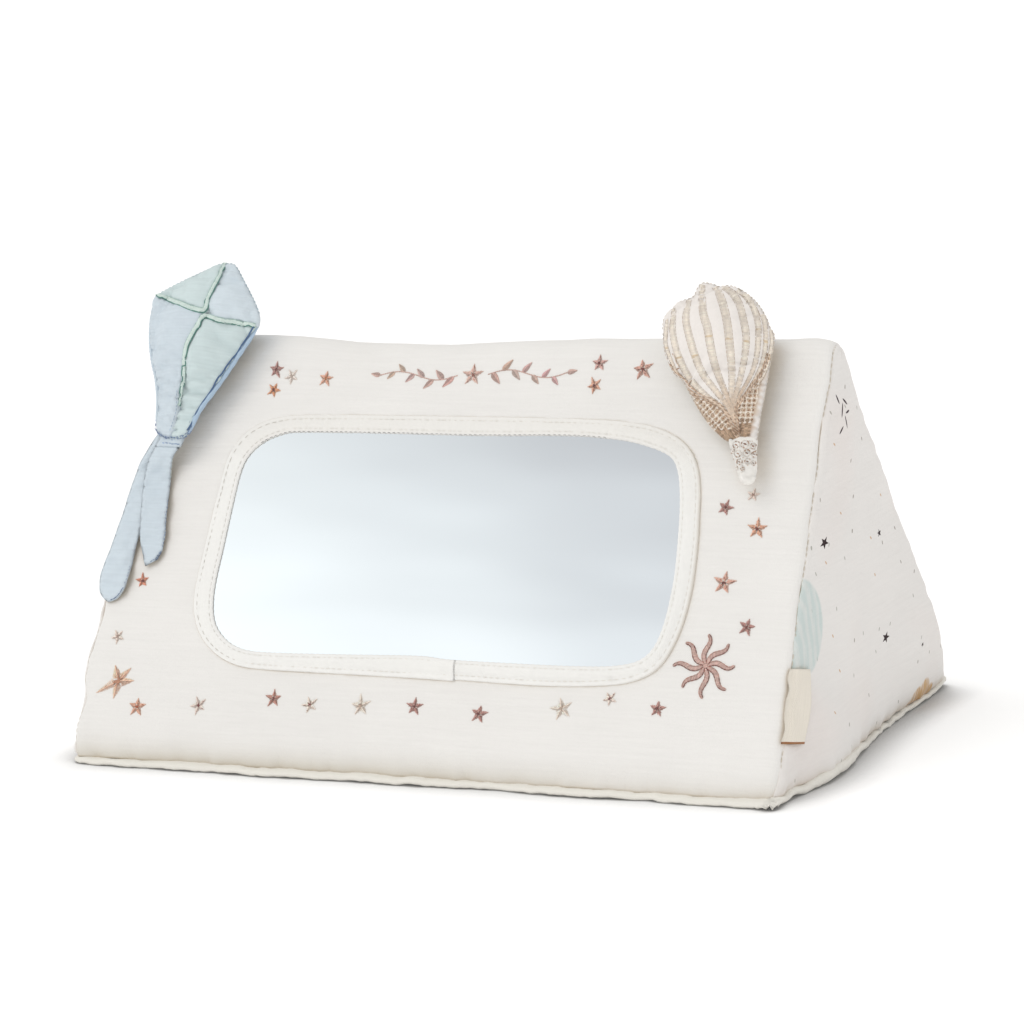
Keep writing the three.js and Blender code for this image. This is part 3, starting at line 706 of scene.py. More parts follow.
out_dir = relax(outward(band_in), 10)
out_dir /= np.linalg.norm(out_dir, axis=1)[:, None]
width = cast(band_in, out_dir, band_out_fine)
for _ in range(10):
    width = 0.5 * width + 0.25 * (np.roll(width, 1) + np.roll(width, -1))
lap_at = int(np.argmin(np.hypot(band_in[:, 0] - 16.0, band_in[:, 1] - 55.3)))
band_in, out_dir, width = np.roll(band_in, -lap_at, 0), np.roll(out_dir, -lap_at, 0), np.roll(width, -lap_at)
band_out = band_in + out_dir * width[:, None]
band_light = band_out[::4]

grid_x = np.arange(-176.0, 177.0, 1.0)
grid_v = np.arange(-4.0, 232.0, 1.0)
GX, GV = np.meshgrid(grid_x, grid_v, indexing="ij")
band_grid = signed(np.stack([GX.ravel(), GV.ravel()], 1), band_light).reshape(GX.shape)


def band_distance(x, v):
    """Distance outside the binding's outer edge, negative inside, from the grid."""
    a = np.clip((np.asarray(x, float) - grid_x[0]), 0, len(grid_x) - 1.001)
    b = np.clip((np.asarray(v, float) - grid_v[0]), 0, len(grid_v) - 1.001)
    i, j = a.astype(int), b.astype(int)
    u, w = a - i, b - j
    g_ = band_grid
    return (g_[i, j] * (1 - u) + g_[i + 1, j] * u) * (1 - w) + (g_[i, j + 1] * (1 - u) + g_[i + 1, j + 1] * u) * w


# ------------------------------------------------------------------ the covers' height over the nominal planes
n_broad = Noise(11, 38, 95)
n_mid = Noise(12, 16, 34)
n_pucker = Noise(13, 7.5, 19)
n_fine = Noise(14, 3.5, 7)
n_long = Noise(15, 30, 70)


def corner_drop(d):
    """How far the panel has fallen at distance d in from the end's plane."""
    d = np.clip(d, 0, CORNER)
    return CORNER - np.sqrt(np.maximum(CORNER**2 - (CORNER - d) ** 2, 0))


def ridge_end(x, v, start):
    """The ridge sinks towards its ends."""
    return 1.0 * smooth((np.abs(x) - 152) / 18) ** 1.5 * smooth((v - start + 26) / 26)


def front_height(x, v):
    x, v = np.broadcast_arrays(np.asarray(x, float), np.asarray(v, float))
    d = 170 - np.abs(x)
    eb = np.maximum(v - V0, 0)
    et = np.maximum(V1 - v, 0)
    n = 1.7 * (1 - np.exp(-np.maximum(d - 2, 0) / 13)) * (1 - np.exp(-eb / 13)) * (1 - smooth((v - 155) / 40))
    q = band_distance(x, v)
    side = np.clip((x * 0.0045 - (v - 106) * 0.013), -1, 1)  # 1 towards the lower right
    n += (0.45 - 0.75 * side) * np.exp(-((np.maximum(q, 0) / 11.0) ** 2))
    n -= 0.55 * np.clip(side, 0, 1) * np.exp(-((np.maximum(q, 0) / 4.0) ** 2))
    n += 0.22 * n_broad(x, v) * smooth(q / 12) * smooth(d / 10) * (1 - smooth((v - 170) / 25) * 0.6)
    n += 0.10 * n_mid(x * 0.6, v * 1.5) * smooth(q / 8)
    # soft folds that run from the binding's upper left corner towards the side
    for s0, w, a, slope in ((141, 3.0, 0.42, 0.10), (131, 2.6, -0.32, 0.05), (121, 3.4, 0.28, 0.0), (150, 3.2, -0.3, 0.16)):
        n += a * bump1(v - slope * (x + 118), s0, w) * smooth((-112 - x) / 10) * smooth((x + 168) / 22)
    for s0, w, a in ((171, 2.4, 0.3), (176.5, 2.0, -0.22)):
        n += a * bump1(v + 0.02 * x, s0, w) * (bump1(x, -62, 40) + 0.8 * bump1(x, 72, 26))
    n = n * smooth((q + 4.5) / 4.5) - 0.25 * (1 - smooth((q + 4.5) / 4.5))
    # edges: padded corners, the roll into the base seam, the seams' puckers
    n -= corner_drop(np.maximum(d, 1.46))
    k = np.clip(eb / 10, 0, 1)
    n -= 1.5 * (1 - np.sqrt(np.maximum(1 - (1 - k) ** 2, 0)))
    n += 0.9 * bump1(eb, 13, 6) * (1 + 0.5 * n_long(x, 55))
    n -= 0.9 * np.exp(-et / 1.4)
    n += 0.34 * n_pucker(v * 1.0, 40 * np.sign(x)) * np.exp(-np.maximum(d - 1.4, 0) / 4.5)
    n += 0.45 * n_pucker(x, 90) * np.exp(-eb / 5.5) + 0.5 * n_long(x, 20) * np.exp(-eb / 14)
    n += 0.14 * n_fine(x, 7) * np.exp(-eb / 2.5)
    n -= ridge_end(x, v, S_T + 8)
    return n


def back_height(x, v):
    x, v = np.broadcast_arrays(np.asarray(x, float), np.asarray(v, float))
    d = 170 - np.abs(x)
    eb, et = np.maximum(v - V0, 0), np.maximum(VB1 - v, 0)
    n = 1.9 * (1 - np.exp(-np.maximum(d - 2, 0) / 14)) * (1 - np.exp(-eb / 14)) * (1 - smooth((v - 155) / 42))
    n += 0.35 * n_broad(x + 300, v) * smooth(d / 10) + 0.12 * n_mid(x + 200, v * 1.4)
    n -= corner_drop(np.maximum(d, 1.46))
    k = np.clip(eb / 10, 0, 1)
    n -= 1.5 * (1 - np.sqrt(np.maximum(1 - (1 - k) ** 2, 0)))
    n -= 0.9 * np.exp(-et / 1.4)
    n += 0.34 * n_pucker(v, 140 * np.sign(x)) * np.exp(-np.maximum(d - 1.4, 0) / 4.5)
    n += 0.45 * n_pucker(x, 190) * np.exp(-eb / 5.5)
    n -= ridge_end(x, v, S_B + 3)
    return n


def bulge(side, y):
    """How far the end's foot stands out in X."""
    if side > 0:
        b = np.exp(-(((y + 38) / 46) ** 2)) * 5.2 - 2.2 * np.exp(-(((y - 88) / 22) ** 2))
    else:
        b = 1.6 * np.exp(-(((y + 20) / 50) ** 2)) + 0.8 * n_long(y, 300)
    return b


def graded(a, b, step, fine=0.55, reach=5.0):
    """Places from a to b: fine near both ends, step in between."""
    k = int(round(reach / fine))
    near = np.array([fine * i * (0.7 + 0.3 * i / k) for i in range(k)])
    near = near / near[-1] * reach
    mid = np.linspace(a + reach, b - reach, max(2, int(round((b - a - 2 * reach) / step))) + 1)
    return np.r_[a + near[:-1], mid, (b - near[:-1])[::-1]]


LEFT_V = [0, 2, 6, 11, 15.6, 20, 25, 30, 34, 39, 43.5, 48, 53, 57.6, 62.4, 67, 76, 90, 100, 110, 121, 131, 139, 147, 156, 166, 175, 184,
          192, 200, 212, 240]
LEFT_OUT = [2, 2.2, 3.6, 4, 3.9, 3.8, 3.2, 3.2, 4.1, 5.1, 5.5, 5.4, 4.2, 3.6, 3, 2.5, 2.2, 1.6, 0.2, -1.8, -3.8, -5.8, -8.0, -10.0, -11.2,
            -11.0, -9.6, -7.4, -5.0, -3.0, -1.4, -1.0]
BACK_V = [0, 8, 20, 40, 60, 85, 110, 150, 170, 200, 240]
BACK_OUT = [-0.2, 1.9, 3.9, 5.2, 4.2, 2.8, 1.2, 0, -1.2, -1.2, -0.6]
TOP_X = [-175, -150, -125, -107, -93, -78, -63, -48, -19, -4, 10, 25, 40, 54, 69, 100, 148, 160, 175]
TOP_UP = [1.2, 1.6, 2.4, 2.5, 2, 0.6, -0.9, -1.5, -1.8, -1.1, -0.5, 0, 0.6, 1.4, 1.2, 1.2, 1.5, 2.0, 1.6]


def foot_bulge(side, y):
    """How far the foot of an end stands out."""
    if side > 0:
        w = np.where(y > -57, 52, 24)
        rest = np.where(y > -57, -2.4, 1.0)
        return rest + (8.0 - rest) * np.exp(-(((y + 57) / w) ** 2))
    return 1.2 + 1.2 * np.exp(-(((y + 20) / 50) ** 2))


def puff(p):
    """The padded body's departures from the plain prism, for points in row-frame millimetres."""
    p = np.array(p, float)
    x, y, z = p[..., 0].copy(), p[..., 1].copy(), p[..., 2].copy()
    a, b = -DEPTH / 2 + z * CF / SF, DEPTH / 2 - z * CB / SB
    t = np.clip((y - a) / np.maximum(b - a, 4), 0, 1)
    v = z / SF
    left = np.interp(v, LEFT_V, LEFT_OUT) * (1 - t) + t * 1.6
    right_ = np.interp(z / SB, BACK_V, BACK_OUT) * t**1.3
    out_ = np.where(x < 0, left, right_)
    foot = np.where(x < 0, foot_bulge(-1, y) * t, foot_bulge(1, y)) * np.exp(-((z / 34.0) ** 2))
    w = smooth((np.abs(x) - 122) / 46)
    wf = smooth((np.abs(x) - 146) / 22)
    p[..., 0] = x + np.sign(x) * (out_ * w + foot * wf)
    p[..., 2] = z + np.interp(x, TOP_X, TOP_UP) * smooth((z - 148) / 24)
    return p


def slope_cover(name, frame_of, height, v0, v1, material, shift):
    xs = graded(-168.54, 168.54, 1.9)
    vs = graded(v0, v1, 1.9)
    X, V = np.meshgrid(xs, vs, indexing="ij")
    N_ = height(X, V)
    t = 168.54 - np.abs(X)
    notch = 0.55 * np.exp(-t / 1.1)
    wave = 0.35 * n_long(V, 60 * np.sign(X)) * np.exp(-t / 12)
    Xp = X - np.sign(X) * notch + wave
    N_ = N_ - notch
    grid = on_slope(frame_of, Xp, V, N_)
    # the seam allowance folds in along all four edges
    cols = []
    for sign, i in ((-1, 0), (1, -1)):
        cols.append(on_slope(frame_of, Xp[i] - sign * 1.4, V[i], N_[i] - 1.6))
    grid = np.concatenate([cols[0][None], grid, cols[1][None]], 0)
    Xu = np.r_[xs[0] - 2, xs, xs[-1] + 2]
    bottom = grid[:, 0] + np.array([0, 0, 0.0])
    y, z, ny, nz = frame_of(v0)
    inward = np.array([0, -ny * 1.6, -nz * 1.6])
    along_ = np.array([0, CF if ny < 0 else -CB, SF if ny < 0 else SB])
    low = bottom + inward + along_ * 0.6
    y, z, ny, nz = frame_of(v1)
    high = grid[:, -1] - np.array([0, ny * 1.8, nz * 1.8])
    grid = np.concatenate([low[:, None], grid, high[:, None]], 1)
    vu = np.r_[vs[0] - 2, vs, vs[-1] + 2]
    uv = np.stack(np.meshgrid(Xu, vu, indexing="ij"), -1).reshape(-1, 2) + shift
    f = quads(len(Xu), len(vu))
    v = grid.reshape(-1, 3)
    if frame_of is back_frame:
        f = [q[::-1] for q in f]
    VV = np.concatenate([V[:, :1], V, V[:, -1:]], 1)
    VV = np.concatenate([VV[:1], VV, VV[-1:]], 0).ravel()
    XX = np.concatenate([X[:, :1], X, X[:, -1:]], 1)
    XX = np.concatenate([XX[:1], XX, XX[-1:]], 0).ravel()
    # painted shade: the foot attribute, strongest at the bottom seam and weaker to the right, darkens the cream cover's
    # roll above the base lip
    painted_foot_shade = np.tile(np.exp(-((np.maximum(VV - v0, 0) / 6.0) ** 1.6)) * (1.08 - 0.62 * smooth((XX + 10) / 130)), 2)
    v, f = shell(puff(v), f, 0.9)
    v[:, 2] = np.maximum(v[:, 2], 1.0)
    return make(name, v, f, material, uv=np.vstack([uv, uv]), floats={"motifs": np.zeros(len(v)), "foot": painted_foot_shade})


front_cover = slope_cover("front_cotton_cover", front_frame, front_height, V0, V1, cream, (0, 0))
back_cover = slope_cover("back_cotton_cover", back_frame, back_height, V0, VB1, printed, (400, 0))


# ------------------------------------------------------------------ end covers
def y_front(z, d):
    line = -DEPTH / 2 + z * CF / SF + d / SF
    r = R - d
    arc = CY - np.sqrt(np.maximum(r * r - (z - CZ) ** 2, 0))
    return np.where(z > CZ + r * math.sin(PHI_F), arc, line)


def y_back(z, d):
    line = DEPTH / 2 - z * CB / SB - d / SB
    r = R - d
    arc = CY + np.sqrt(np.maximum(r * r - (z - CZ) ** 2, 0))
    return np.where(z > CZ + r * math.sin(PHI_B), arc, line)


def edge_in(y, z):
    """Distance in from the section's outline, the foot left out."""
    f = (y + DEPTH / 2) * SF - z * CF
    b = (DEPTH / 2 - y) * SB - z * CB
    dy, dz = y - CY, z - CZ
    a = np.arctan2(dz, dy)
    arc = R - np.hypot(dy, dz)
    e = np.minimum(f, b)
    return np.where((a > PHI_B) & (a < PHI_F), arc, e)


Z_FOOT = 3.0


def end_x(side, y, z, e):
    """The end cover's distance from the middle plane."""
    foot = np.maximum(z - Z_FOOT, 0)
    x = 170 - corner_drop(np.maximum(e, 1.46))
    x += 1.5 * (1 - np.exp(-np.maximum(e - 2, 0) / 15)) * (1 - np.exp(-foot / 14))
    k = np.clip(foot / 9, 0, 1)
    x -= 1.4 * (1 - np.sqrt(np.maximum(1 - (1 - k) ** 2, 0)))
    o = 500 if side > 0 else 900
    x += 0.34 * n_broad(y + o, z) * smooth(e / 12) + 0.14 * n_mid(y + o, z) * smooth(e / 6)
    x += 0.32 * n_pucker(z * 1.05, o + 40 * np.sign(y + 8)) * np.exp(-np.maximum(e - 1.4, 0) / 5)
    x += 0.45 * n_pucker(y, o + 90) * np.exp(-foot / 6)
    # tension folds that fan from the front foot corner of the right end
    if side > 0:
        for a0, w, amp in ((0.42, 0.05, 0.5), (0.62, 0.06, -0.35), (0.85, 0.06, 0.3)):
            a = np.arctan2(z - 2, y + 104)
            r_ = np.hypot(z - 2, y + 104)
            x += amp * bump1(a, a0, w) * np.exp(-(((r_ - 26) / 20) ** 2))
    return x


def end_cover(name, side, shift):
    top = CZ + R - 1.46 - 0.25
    zs = graded(Z_FOOT, top, 1.9)
    ts_n = 116
    rows = []
    inset = 1.46 + 0.55
    for z in zs:
        a, b = float(y_front(z, 1.46)) + 0.0, float(y_back(z, 1.46)) - 0.0
        long = b - a
        u = np.linspace(-1, 1, ts_n)
        # crowd the columns towards both edges
        g = np.sign(u) * (1 - (1 - np.abs(u)) ** 1.35)
        rows.append(np.stack([(a + b) / 2 + g * long / 2, np.full(ts_n, z)], 1))
    g = np.array(rows)  # z, column, 2
    y, z = g[..., 0], g[..., 1]
    e = edge_in(y, z)
    x = end_x(side, y, z, e)
    drop = ridge_end(np.full_like(y, 170.0), z / SF, (CZ + 6) / SF)
    notch = 0.55 * np.exp(-np.maximum(e - 1.46, 0) / 1.1)
    # towards the middle of the section at the seam
    cy, cz = -4.0, 70.0
    out_y, out_z = y - cy, z - cz
    r_ = np.hypot(out_y, out_z)
    pull = notch * 1.0
    y2 = y - out_y / r_ * pull
    z2 = z - out_z / r_ * pull - drop * np.exp(-e / 14)
    x2 = x - notch
    z2 = z2 + 0.0 * z2
    # the foot seam rises with the lip where the base bulges
    lift = 0.16 * np.clip(foot_bulge(side, y), 0, 10) * np.exp(-np.maximum(z - Z_FOOT, 0) / 10)
    z2 = z2 + lift
    grid = np.stack([side * x2, y2, z2], -1)
    # seam allowance folded in all round
    centre = np.array([side * 150.0, cy, cz])

    def fold(line):
        d = centre - line
        d[..., 0] *= 1.0
        d /= np.linalg.norm(d, axis=-1)[..., None]
        return line + d * 1.6 + np.array([-side * 1.3, 0, 0])

    grid = np.concatenate([fold(grid[:, 0].copy())[:, None], grid, fold(grid[:, -1].copy())[:, None]], 1)
    y_u = np.concatenate([y[:, :1] - 2, y, y[:, -1:] + 2], 1)
    z_u = np.concatenate([z[:, :1], z, z[:, -1:]], 1)
    grid = np.concatenate([fold(grid[0].copy())[None], grid, fold(grid[-1].copy())[None]], 0)
    y_u = np.concatenate([y_u[:1], y_u, y_u[-1:]], 0)
    z_u = np.concatenate([z_u[:1] - 2, z_u, z_u[-1:] + 2], 0)
    v = grid.reshape(-1, 3)
    f = quads(*grid.shape[:2])
    if side > 0:
        f = [q[::-1] for q in f]
    uv = np.stack([y_u.ravel(), z_u.ravel()], 1) + shift
    v, f = shell(puff(v), f, 0.9)
    return make(name, v, f, printed, uv=np.vstack([uv, uv]), floats={"motifs": np.full(len(v), 1.0 if side > 0 else 0.0)})


right_end = end_cover("right_end_cotton_cover", 1, (0, 0))
left_end = end_cover("left_end_cotton_cover", -1, (800, 0))


# ------------------------------------------------------------------ base cover: a padded slab whose edge shows as a lip
def base_cover():
    hx, hy, rc = 170.0, DEPTH / 2, 5.0
    pts = []
    for sx, sy, a0 in ((1, -1, -90), (1, 1, 0), (-1, 1, 90), (-1, -1, 180)):
        for i in range(9):
            a = rad(a0 + 90 * i / 8)
            pts.append((sx * (hx - rc) + rc * math.cos(a), sy * (hy - rc) + rc * math.sin(a)))
    loop = turned(even(np.array(pts), 900, closed=True))
    nrm = outward(loop)
    d = np.r_[0, np.cumsum(np.linalg.norm(np.diff(loop, axis=0), axis=1))]
    profile = [(-46, 0.05), (-30, 0.05), (-16, 0.02), (-9, 0.0), (-4.5, 0.02), (-2.2, 0.12), (-0.9, 0.4), (-0.25, 0.85),
               (0.0, 1.35), (-0.1, 1.85), (-0.5, 2.3), (-1.2, 2.65), (-2.1, 2.85), (-3.2, 2.95), (-4.4, 3.0),
               (-6.0, 3.3), (-8.5, 4.6), (-12, 5.1), (-20, 5.1), (-32, 5.0), (-46, 5.0)]
    rows = []
    bow = 0.8 * n_long(loop[:, 0], 33) + 0.35 * n_pucker(loop[:, 0] * 0.8, 17)
    for k, (o, z) in enumerate(profile):
        near = math.exp(-((o / 9) ** 2))
        ends = np.abs(nrm[:, 0])
        p = loop + nrm * o
        p = p + nrm * ((np.abs(nrm[:, 1]) * (1.9 + 0.8 * bow) + ends * np.where(loop[:, 0] < 0, -0.9, 0.9)) * near)[:, None]
        edge = 0.10 * n_fine(d * 1.1, 3 + k * 0.4) + 0.16 * n_pucker(d * 0.6, 60)
        p = p + nrm * (edge * near)[:, None]
        tall = np.where(loop[:, 0] > 0, 1 + 0.125 * np.clip(foot_bulge(1, loop[:, 1]), 0, 10) * ends, 1.0)
        zz = np.full(len(loop), float(z))
        if z > 0.1:
            zz = zz * (1 + (tall - 1) * near)
            lift = (0.22 + 0.30 * ends * (loop[:, 0] > 0)) * n_pucker(d * 0.6, 200) + 0.10 * n_fine(d, 11)
            zz = zz + lift * near * 0.8
        # a little bunch of folded corner fabric at the front right foot
        c = np.hypot(p[:, 0] - 169, p[:, 1] + 108)
        g = np.exp(-((c / 5.5) ** 2)) * near
        p = p + np.array([0.15, -0.99]) * (g * (2.6 + 1.2 * np.sin(d * 2.1 + z * 1.7)))[:, None]
        # the back right corner is drawn in and stands up, rounded
        g2 = np.exp(-((np.hypot(p[:, 0] - 168, p[:, 1] - 105) / 7.0) ** 2)) * near
        p = p - nrm * (g2 * 1.9)[:, None]
        if 0.1 < z < 4:
            zz = zz + g * (0.8 + 0.9 * np.sin(d * 2.9 + 1.3 * z)) + g2 * (1.9 + 0.5 * np.sin(d * 2.3))
        rows.append(np.c_[p, np.maximum(zz, 0.0)])
    g = np.array(rows)
    v = g.reshape(-1, 3)
    f = quads(g.shape[0], g.shape[1], closed_j=True)
    f = [q[::-1] for q in f]
    n = g.shape[1]
    v = np.vstack([v, [[0, 0, 0.05]], [[0, 0, 5.0]]])
    a, b = len(v) - 2, len(v) - 1
    top = (g.shape[0] - 1) * n
    for i in range(n):
        j = (i + 1) % n
        f.append((a, j, i))
        f.append((b, top + i, top + j))
    uv = np.stack([v[:, 0] + 1300, v[:, 1] + v[:, 2]], 1)
    return make("base_cotton_cover", puff(v), f, lining, uv=uv, floats={"motifs": np.zeros(len(v))})


base_piece = base_cover()


def face_out(ob):
    bm = bmesh.new()
    bm.from_mesh(ob.data)
    bmesh.ops.recalc_face_normals(bm, faces=bm.faces)
    if bm.calc_volume(signed=True) < 0:
        bmesh.ops.reverse_faces(bm, faces=bm.faces)
    bm.to_mesh(ob.data)
    bm.free()


for ob, node in ((front_cover, "front_cover"), (back_cover, "back_cover"), (right_end, "right_end_cover"),
                 (left_end, "left_end_cover"), (base_piece, "base_cover")):
    face_out(ob)
    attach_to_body(ob, "stand")
    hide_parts(node)


# ------------------------------------------------------------------ wadding and foam, inside
def soft_block(name, node, scale, material, shift=(0.0, 0.0, 0.0)):
    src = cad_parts[node].data
    bm = bmesh.new()
    bm.from_mesh(src)
    bmesh.ops.remove_doubles(bm, verts=bm.verts, dist=1e-6)
    lo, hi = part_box(node)
    c = (lo + hi) / 2
    for vert in bm.verts:
        vert.co = Vector([c[i] + (vert.co[i] - c[i]) * scale[i] + shift[i] * MM for i in range(3)])
    bmesh.ops.dissolve_limit(bm, angle_limit=0.02, verts=bm.verts, edges=bm.edges)
    bmesh.ops.bevel(bm, geom=[e for e in bm.edges if e.calc_face_angle(0) > 0.6], offset=0.0016, segments=3, profile=0.5,
                    affect="EDGES")
    for axis, places in ((2, range(8, 212, 9)), (0, (-162, -156, -150, -143, -136, -128, -120, 120, 128, 136, 143, 150, 156, 162)),
                         (1, range(-90, 91, 18))):
        for at in places:
            co, no = [0.0, 0.0, 0.0], [0.0, 0.0, 0.0]
            co[axis], no[axis] = at * MM, 1.0
            bmesh.ops.bisect_plane(bm, geom=bm.verts[:] + bm.edges[:] + bm.faces[:], plane_co=co, plane_no=no, dist=1e-6)
    place = puff(np.array([list(vert.co) for vert in bm.verts]) / MM)
    for vert, at in zip(bm.verts, place):
        vert.co = Vector([float(a) * MM for a in at])
    bmesh.ops.recalc_face_normals(bm, faces=bm.faces)
    me = bpy.data.meshes.new(name)
    bm.to_mesh(me)
    bm.free()
    me.materials.append(material)
    ob = bpy.data.objects.new(name, me)
    scene.collection.objects.link(ob)
    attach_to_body(ob, "stand")
    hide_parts(node)
    return ob


for node, sc, by in (("front_wadding", (0.99, 0.965, 0.965), (0, 1.5, -0.8)), ("back_wadding", (0.99, 0.965, 0.965), (0, -1.5, -0.8)),
                     ("base_wadding", (0.99, 0.97, 0.9), (0, 0, 0)), ("left_end_wadding", (0.9, 0.965, 0.955), (0.6, 0, -0.6)),
                     ("right_end_wadding", (0.9, 0.965, 0.955), (-0.6, 0, -0.6))):
    soft_block(node + "_pad", node, sc, wad_mat, by)
soft_block("foam_wedge", "foam_core", (0.98, 0.96, 0.965), foam_mat)


# ------------------------------------------------------------------ the mirror film and the felt sheet behind it
def sheet_in_window(name, node, material, low, high, margin, soft):
    """A thin sheet that ends under the binding; its face follows the padding very slightly."""
    rings = []
    edge = band_in + out_dir * np.maximum(width - margin, 0.55 * width)[:, None]
    edge = relax(edge, 20)[::4]
    centre = np.array([0.6, 106.4])
    slow = Noise(71, 70, 150)
    for k in np.linspace(1, 0.03, 34):
        rings.append(centre + (edge - centre) * k)
    g = np.array(rings)
    swell = soft * slow(g[..., 0], g[..., 1])
    top = panel(g[..., 0], g[..., 1], high + swell)
    low_ = panel(g[..., 0], g[..., 1], low + swell)
    n = g.shape[1]
    rows = np.concatenate([low_[::-1], top], 0)
    v = rows.reshape(-1, 3)
    f = quads(rows.shape[0], n, closed_j=True)
    v = np.vstack([v, panel(centre[0], centre[1], low + soft * slow(*centre))[None], panel(centre[0], centre[1], high + soft * slow(*centre))[None]])
    a, b = len(v) - 2, len(v) - 1
    last = (rows.shape[0] - 1) * n
    for i in range(n):
        j = (i + 1) % n
        f.append((a, j, i))
        f.append((b, last + i, last + j))
    ob = make(name, v, f, material, uv=np.stack([v[:, 0], v[:, 2]], 1))
    face_out(ob)
    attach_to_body(ob, "stand")
    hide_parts(node)


sheet_in_window("mirror_film_sheet", "mirror_sheet", mirror_mat, 1.95, 2.7, 3.4, 0.05)
sheet_in_window("mirror_felt_backing", "mirror_backing", felt_mat, 0.4, 1.75, 2.8, 0.05)


# ------------------------------------------------------------------ mirror binding
def binding():
    count = len(band_in)
    seg = np.linalg.norm(np.roll(band_in, -1, 0) - band_in, axis=1)
    place = np.r_[0, np.cumsum(seg)[:-1]]
    cover = front_height(band_out[:, 0], band_out[:, 1])
    reach = np.maximum(width - 3.4, 0.55 * width) / width
    side = np.clip(0.5 + 0.5 * (out_dir[:, 0] * 0.75 - out_dir[:, 1] * 0.65) * 1.3, 0, 1)
    step = 0.24 + 0.86 * side
    # the lap at the bottom: the left end of the tape lies over the right end
    lap_x = 16.0
    low = out_dir[:, 1] < -0.8
    over = np.where(low & (band_in[:, 0] < lap_x), np.exp(-((lap_x - band_in[:, 0]) / 16.0)), 0) * smooth(
        (lap_x - band_in[:, 0]) / 0.8
    )
    n_a, n_b = Noise(31, 3.0, 6.5), Noise(32, 14, 40)
    pucker = n_a(band_in[:, 0], band_in[:, 1])
    slow = n_b(band_in[:, 0], band_in[:, 1])
    inner_scallop = 0.10 * np.cos(place * 2 * np.pi / 2.7)
    rows, us = [], []
    fr = [0.012, 0.0, 0.012, 0.05, 0.11, 0.17, 0.24, 0.33, 0.43, 0.53, 0.62, 0.70, 0.78, 0.86, 0.92, 0.965, 0.99, 1.0, 1.0, 0.97]
    for k, f in enumerate(fr):
        dist = f * width
        if k == 0:
            h = np.full(count, 2.78)
        elif k == 1:
            h = np.full(count, 3.02)
        elif k == 2:
            h = np.full(count, 3.32)
        else:
            crest = 3.95 - 0.45 * f
            end = cover + step
            h = crest + (end - crest) * smooth((f - 0.30) / 0.66)
            h = np.maximum(h, 3.12 - 1.4 * smooth((f - reach - 0.02) / 0.09))
            h = h - (crest - 3.5) * (1 - smooth(f / 0.12))
            # stitch grooves: one near the window, one above the outer edge
            h = h - 0.20 * np.exp(-(((dist - 1.7) / 0.55) ** 2)) - 0.16 * np.exp(-(((width - dist - 1.9) / 0.6) ** 2))
            h = h + 0.07 * pucker * smooth(f / 0.2) + 0.10 * slow * smooth((f - 0.2) / 0.5)
            if k >= 15:
                fall = {15: 0.05, 16: 0.16, 17: 0.42, 18: 0.8, 19: 1.0}[k]
                rim = np.maximum(end, 3.12 - 1.4 * smooth((0.955 - reach) / 0.09))
                h = rim + 0.07 * pucker + 0.10 * slow - fall * (rim - cover + 0.9)
        p = band_in + out_dir * dist[:, None]
        if k <= 3:
            p = p + out_dir * (inner_scallop * (1 if k < 3 else 0.4))[:, None]
        h = h + 0.42 * over * (1 if k > 2 else 0.1)
        if k > 12:
            p = p + out_dir * (0.55 * over)[:, None]
        rows.append(panel(p[:, 0], p[:, 1], h))
        us.append(dist)
    # the underside, hidden
    for f, h0 in ((0.80, 0.2), (0.66, 0.28), (0.62, 2.76), (0.35, 2.76)):
        p = band_in + out_dir * (f * width)[:, None]
        h = np.full(count, h0) if h0 > 2 else np.minimum(h0, cover - 0.6) + 0 * cover
        rows.append(panel(p[:, 0], p[:, 1], h))
        us.append(f * width)
    g = np.array(rows)
    f = quads(g.shape[0], g.shape[1], closed_i=True, closed_j=True)
    uv = np.stack([np.tile(place, len(rows)), np.array(us).ravel()], 1)
    # 1 along the tape's upper side, where it is made a little darker
    upper_side_darker = np.tile(np.clip((out_dir[:, 1] - 0.3) / 0.5, 0, 1), len(rows))
    # painted shadow along the outer edge of the tape's right side
    painted_rim_shadow = np.concatenate([0.85 * np.clip(out_dir[:, 0] - 0.1, 0, 1) * np.exp(-(((1 - u_ / width) / 0.10) ** 2)) for u_ in us])
    ob = make("mirror_binding_tape", g.reshape(-1, 3), f, bind_mat, uv=uv, floats={"upper_side_darker": upper_side_darker, "rim": painted_rim_shadow})
    face_out(ob)
    return ob, place, cover, step


binding_ob, band_place, band_cover, band_step = binding()
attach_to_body(binding_ob, "stand")
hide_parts("mirror_binding")


